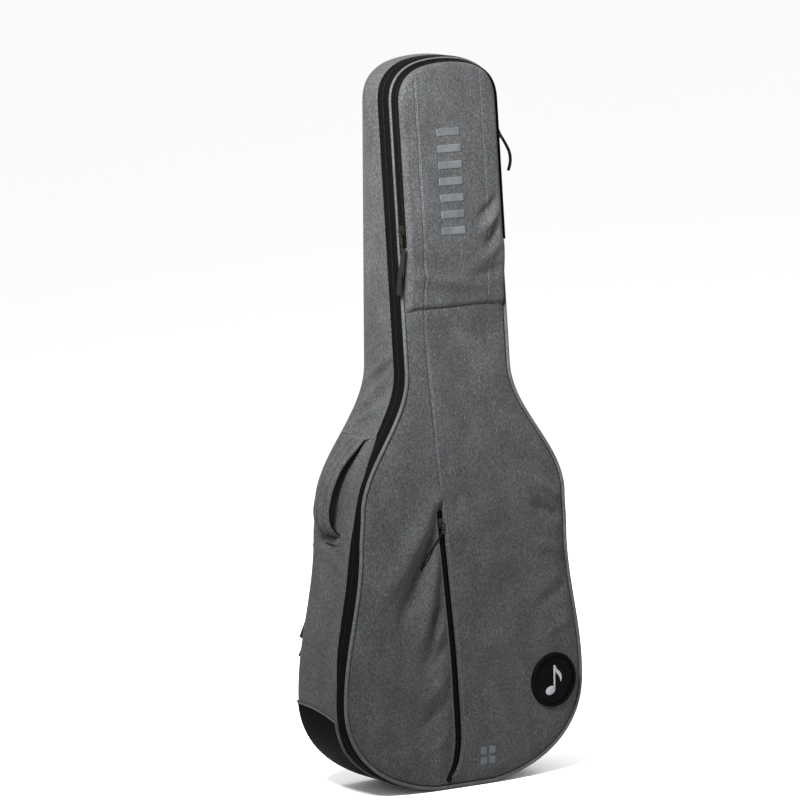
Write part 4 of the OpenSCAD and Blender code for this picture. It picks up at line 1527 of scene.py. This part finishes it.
def build_wall_seams():
    """The fold of cloth across each side wall level with the handle's top, a dark tube below it as painted
    shade, and its stitches.
    """
    threads, folds, shade_tubes = [], [], []
    for side in (-1, 1):
        out = np.array([side, 0, -0.5])
        threads.append((wall_line(side, WALL_SEAM_Z - 4.5) + 0.3 * out, out))
        line = wall_line(side, WALL_SEAM_Z)
        if side < 0:
            line = line + FOLD_LIFT * smooth_step((27 - np.abs(line[:, 1:2] - HANDLE_Y)) / 8) * out
        line = line + 0.6 * out
        folds.append(sweep(line, out, circle(WALL_FOLD_R, 8) * [1.6, 1]))
        # A dark tube just below the fold: painted shade where the fold's shadow falls.
        shade_tubes.append(sweep(line - [0, 0, 3.0], out, circle(WALL_FOLD_R, 8)))
    for obj in (stitched_piece("wall_seam_stitching", THREAD, *threads),
                tube_piece("wall_seam_fold", PIPING, *folds),
                tube_piece("wall_seam_painted_shade", DARK_THREAD_AND_SHADE, *shade_tubes)):
        place(obj, "back_shell", "melange_fabric")


# ---- Hard CAD nodes that stay ----

HARD_NODES = {
    BRASS: ["neck_zip_slider", "neck_zip_pull", "main_zip_slider", "main_zip_pull"],
    ENAMEL: ["music_zip_slider", "music_zip_pull"],
    PLASTIC: ["left_strap_buckle", "right_strap_buckle"],
}


def finish_hard_nodes():
    for material, names in HARD_NODES.items():
        for name in names:
            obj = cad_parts[name]
            obj.data.materials.clear()
            obj.data.materials.append(material)
            bevel = obj.modifiers.new("softened_edges", "BEVEL")
            bevel.width = 0.35 * MM
            bevel.segments = 2
            bevel.limit_method = "ANGLE"
            for polygon in obj.data.polygons:
                polygon.use_smooth = True


# ---- Stage ----

CAMERA_TURN = 35.45       # degrees
CAMERA_TILT = 8.52
CAMERA_ROLL = 0.32
CAMERA_FAR = 9.0          # metres
CAMERA_LENS = 263.25      # millimetres, as is the sensor
SENSOR_W = 36
AIM_RIGHT = -57.077       # how far the camera aims from the bag's middle, in millimetres
AIM_UP = 35.077
MIDDLE_Z = 0.56           # metres
FLOOR_HALF = 40
PALE = 0.93
SKY_STRENGTH = 1.03


def look_along(obj, view, roll=0.0):
    obj.rotation_mode = "QUATERNION"
    turn = Matrix.Rotation(math.radians(roll), 4, view).to_quaternion()
    obj.rotation_quaternion = turn @ view.to_track_quat("-Z", "Y")


def build_camera():
    a, e = math.radians(CAMERA_TURN), math.radians(CAMERA_TILT)
    forward = Vector((math.sin(a) * math.cos(e), math.cos(a) * math.cos(e), -math.sin(e)))
    right = Vector((math.cos(a), -math.sin(a), 0))
    up = right.cross(forward)
    data = bpy.data.cameras.new("camera")
    data.sensor_width = SENSOR_W
    data.lens = CAMERA_LENS
    data.clip_end = 100
    camera = link("camera", data)
    middle = Vector((0, 0, MIDDLE_Z))
    camera.location = middle - forward * CAMERA_FAR
    aim = middle + (right * AIM_RIGHT + up * AIM_UP) * MM
    look_along(camera, (aim - camera.location).normalized(), CAMERA_ROLL)
    bpy.context.scene.camera = camera


def area_light(name, location, aim, size, power, spread, colour):
    data = bpy.data.lights.new(name, "AREA")
    data.shape = "DISK"
    data.size = size
    data.energy = power
    data.color = colour
    data.spread = math.radians(spread)
    light = link(name, data)
    light.visible_camera = False
    light.location = location
    look_along(light, (Vector(aim) - Vector(location)).normalized())


def build_stage():
    form = bmesh.new()
    bmesh.ops.create_grid(form, x_segments=8, y_segments=8, size=FLOOR_HALF)
    mesh = bpy.data.meshes.new("floor")
    form.to_mesh(mesh)
    form.free()
    floor = link("floor", mesh)
    s = Shader("floor_paint", 0.9, Base_Color=(PALE, PALE, PALE, 1), Specular_IOR_Level=0)
    mesh.materials.append(s.material)
    world = bpy.data.worlds.new("studio")
    world.use_nodes = True
    sky = world.node_tree.nodes["Background"].inputs
    sky["Color"].default_value = (1, 1, 1, 1)
    sky["Strength"].default_value = SKY_STRENGTH
    bpy.context.scene.world = world
    bpy.context.scene.view_settings.view_transform = "Standard"
    area_light("key", (-1.25, -0.82, 1.8), (0, 0, 0.95), size=0.6, power=38, spread=70,
               colour=(1, 0.965, 0.91))
    area_light("rim", (1.6, 1.4, 2.2), (0, 0, 0.8), size=1.2, power=15, spread=120, colour=(1, 1, 1))


build_camera()
build_stage()
build_lid_front()
build_right_panel()
build_piping()
build_zip_bands()
build_main_coil()
build_hinge_gusset()
build_shell()
build_linings()
build_guard()
build_pocket_front()
build_pocket_zip()
build_music_zip()
build_patch()
build_prints()
build_handle()
build_wall_plate("handle_upper_plate", 549, 10, "handle_top_anchor")
build_wall_plate("handle_lower_plate", 396, 12, "handle_bottom_anchor")
build_strap("left", 1)
build_strap("right", -1)
build_back_fittings()
build_pulls()
build_music_cord()
build_front_stitching()
build_wall_seams()
finish_hard_nodes()
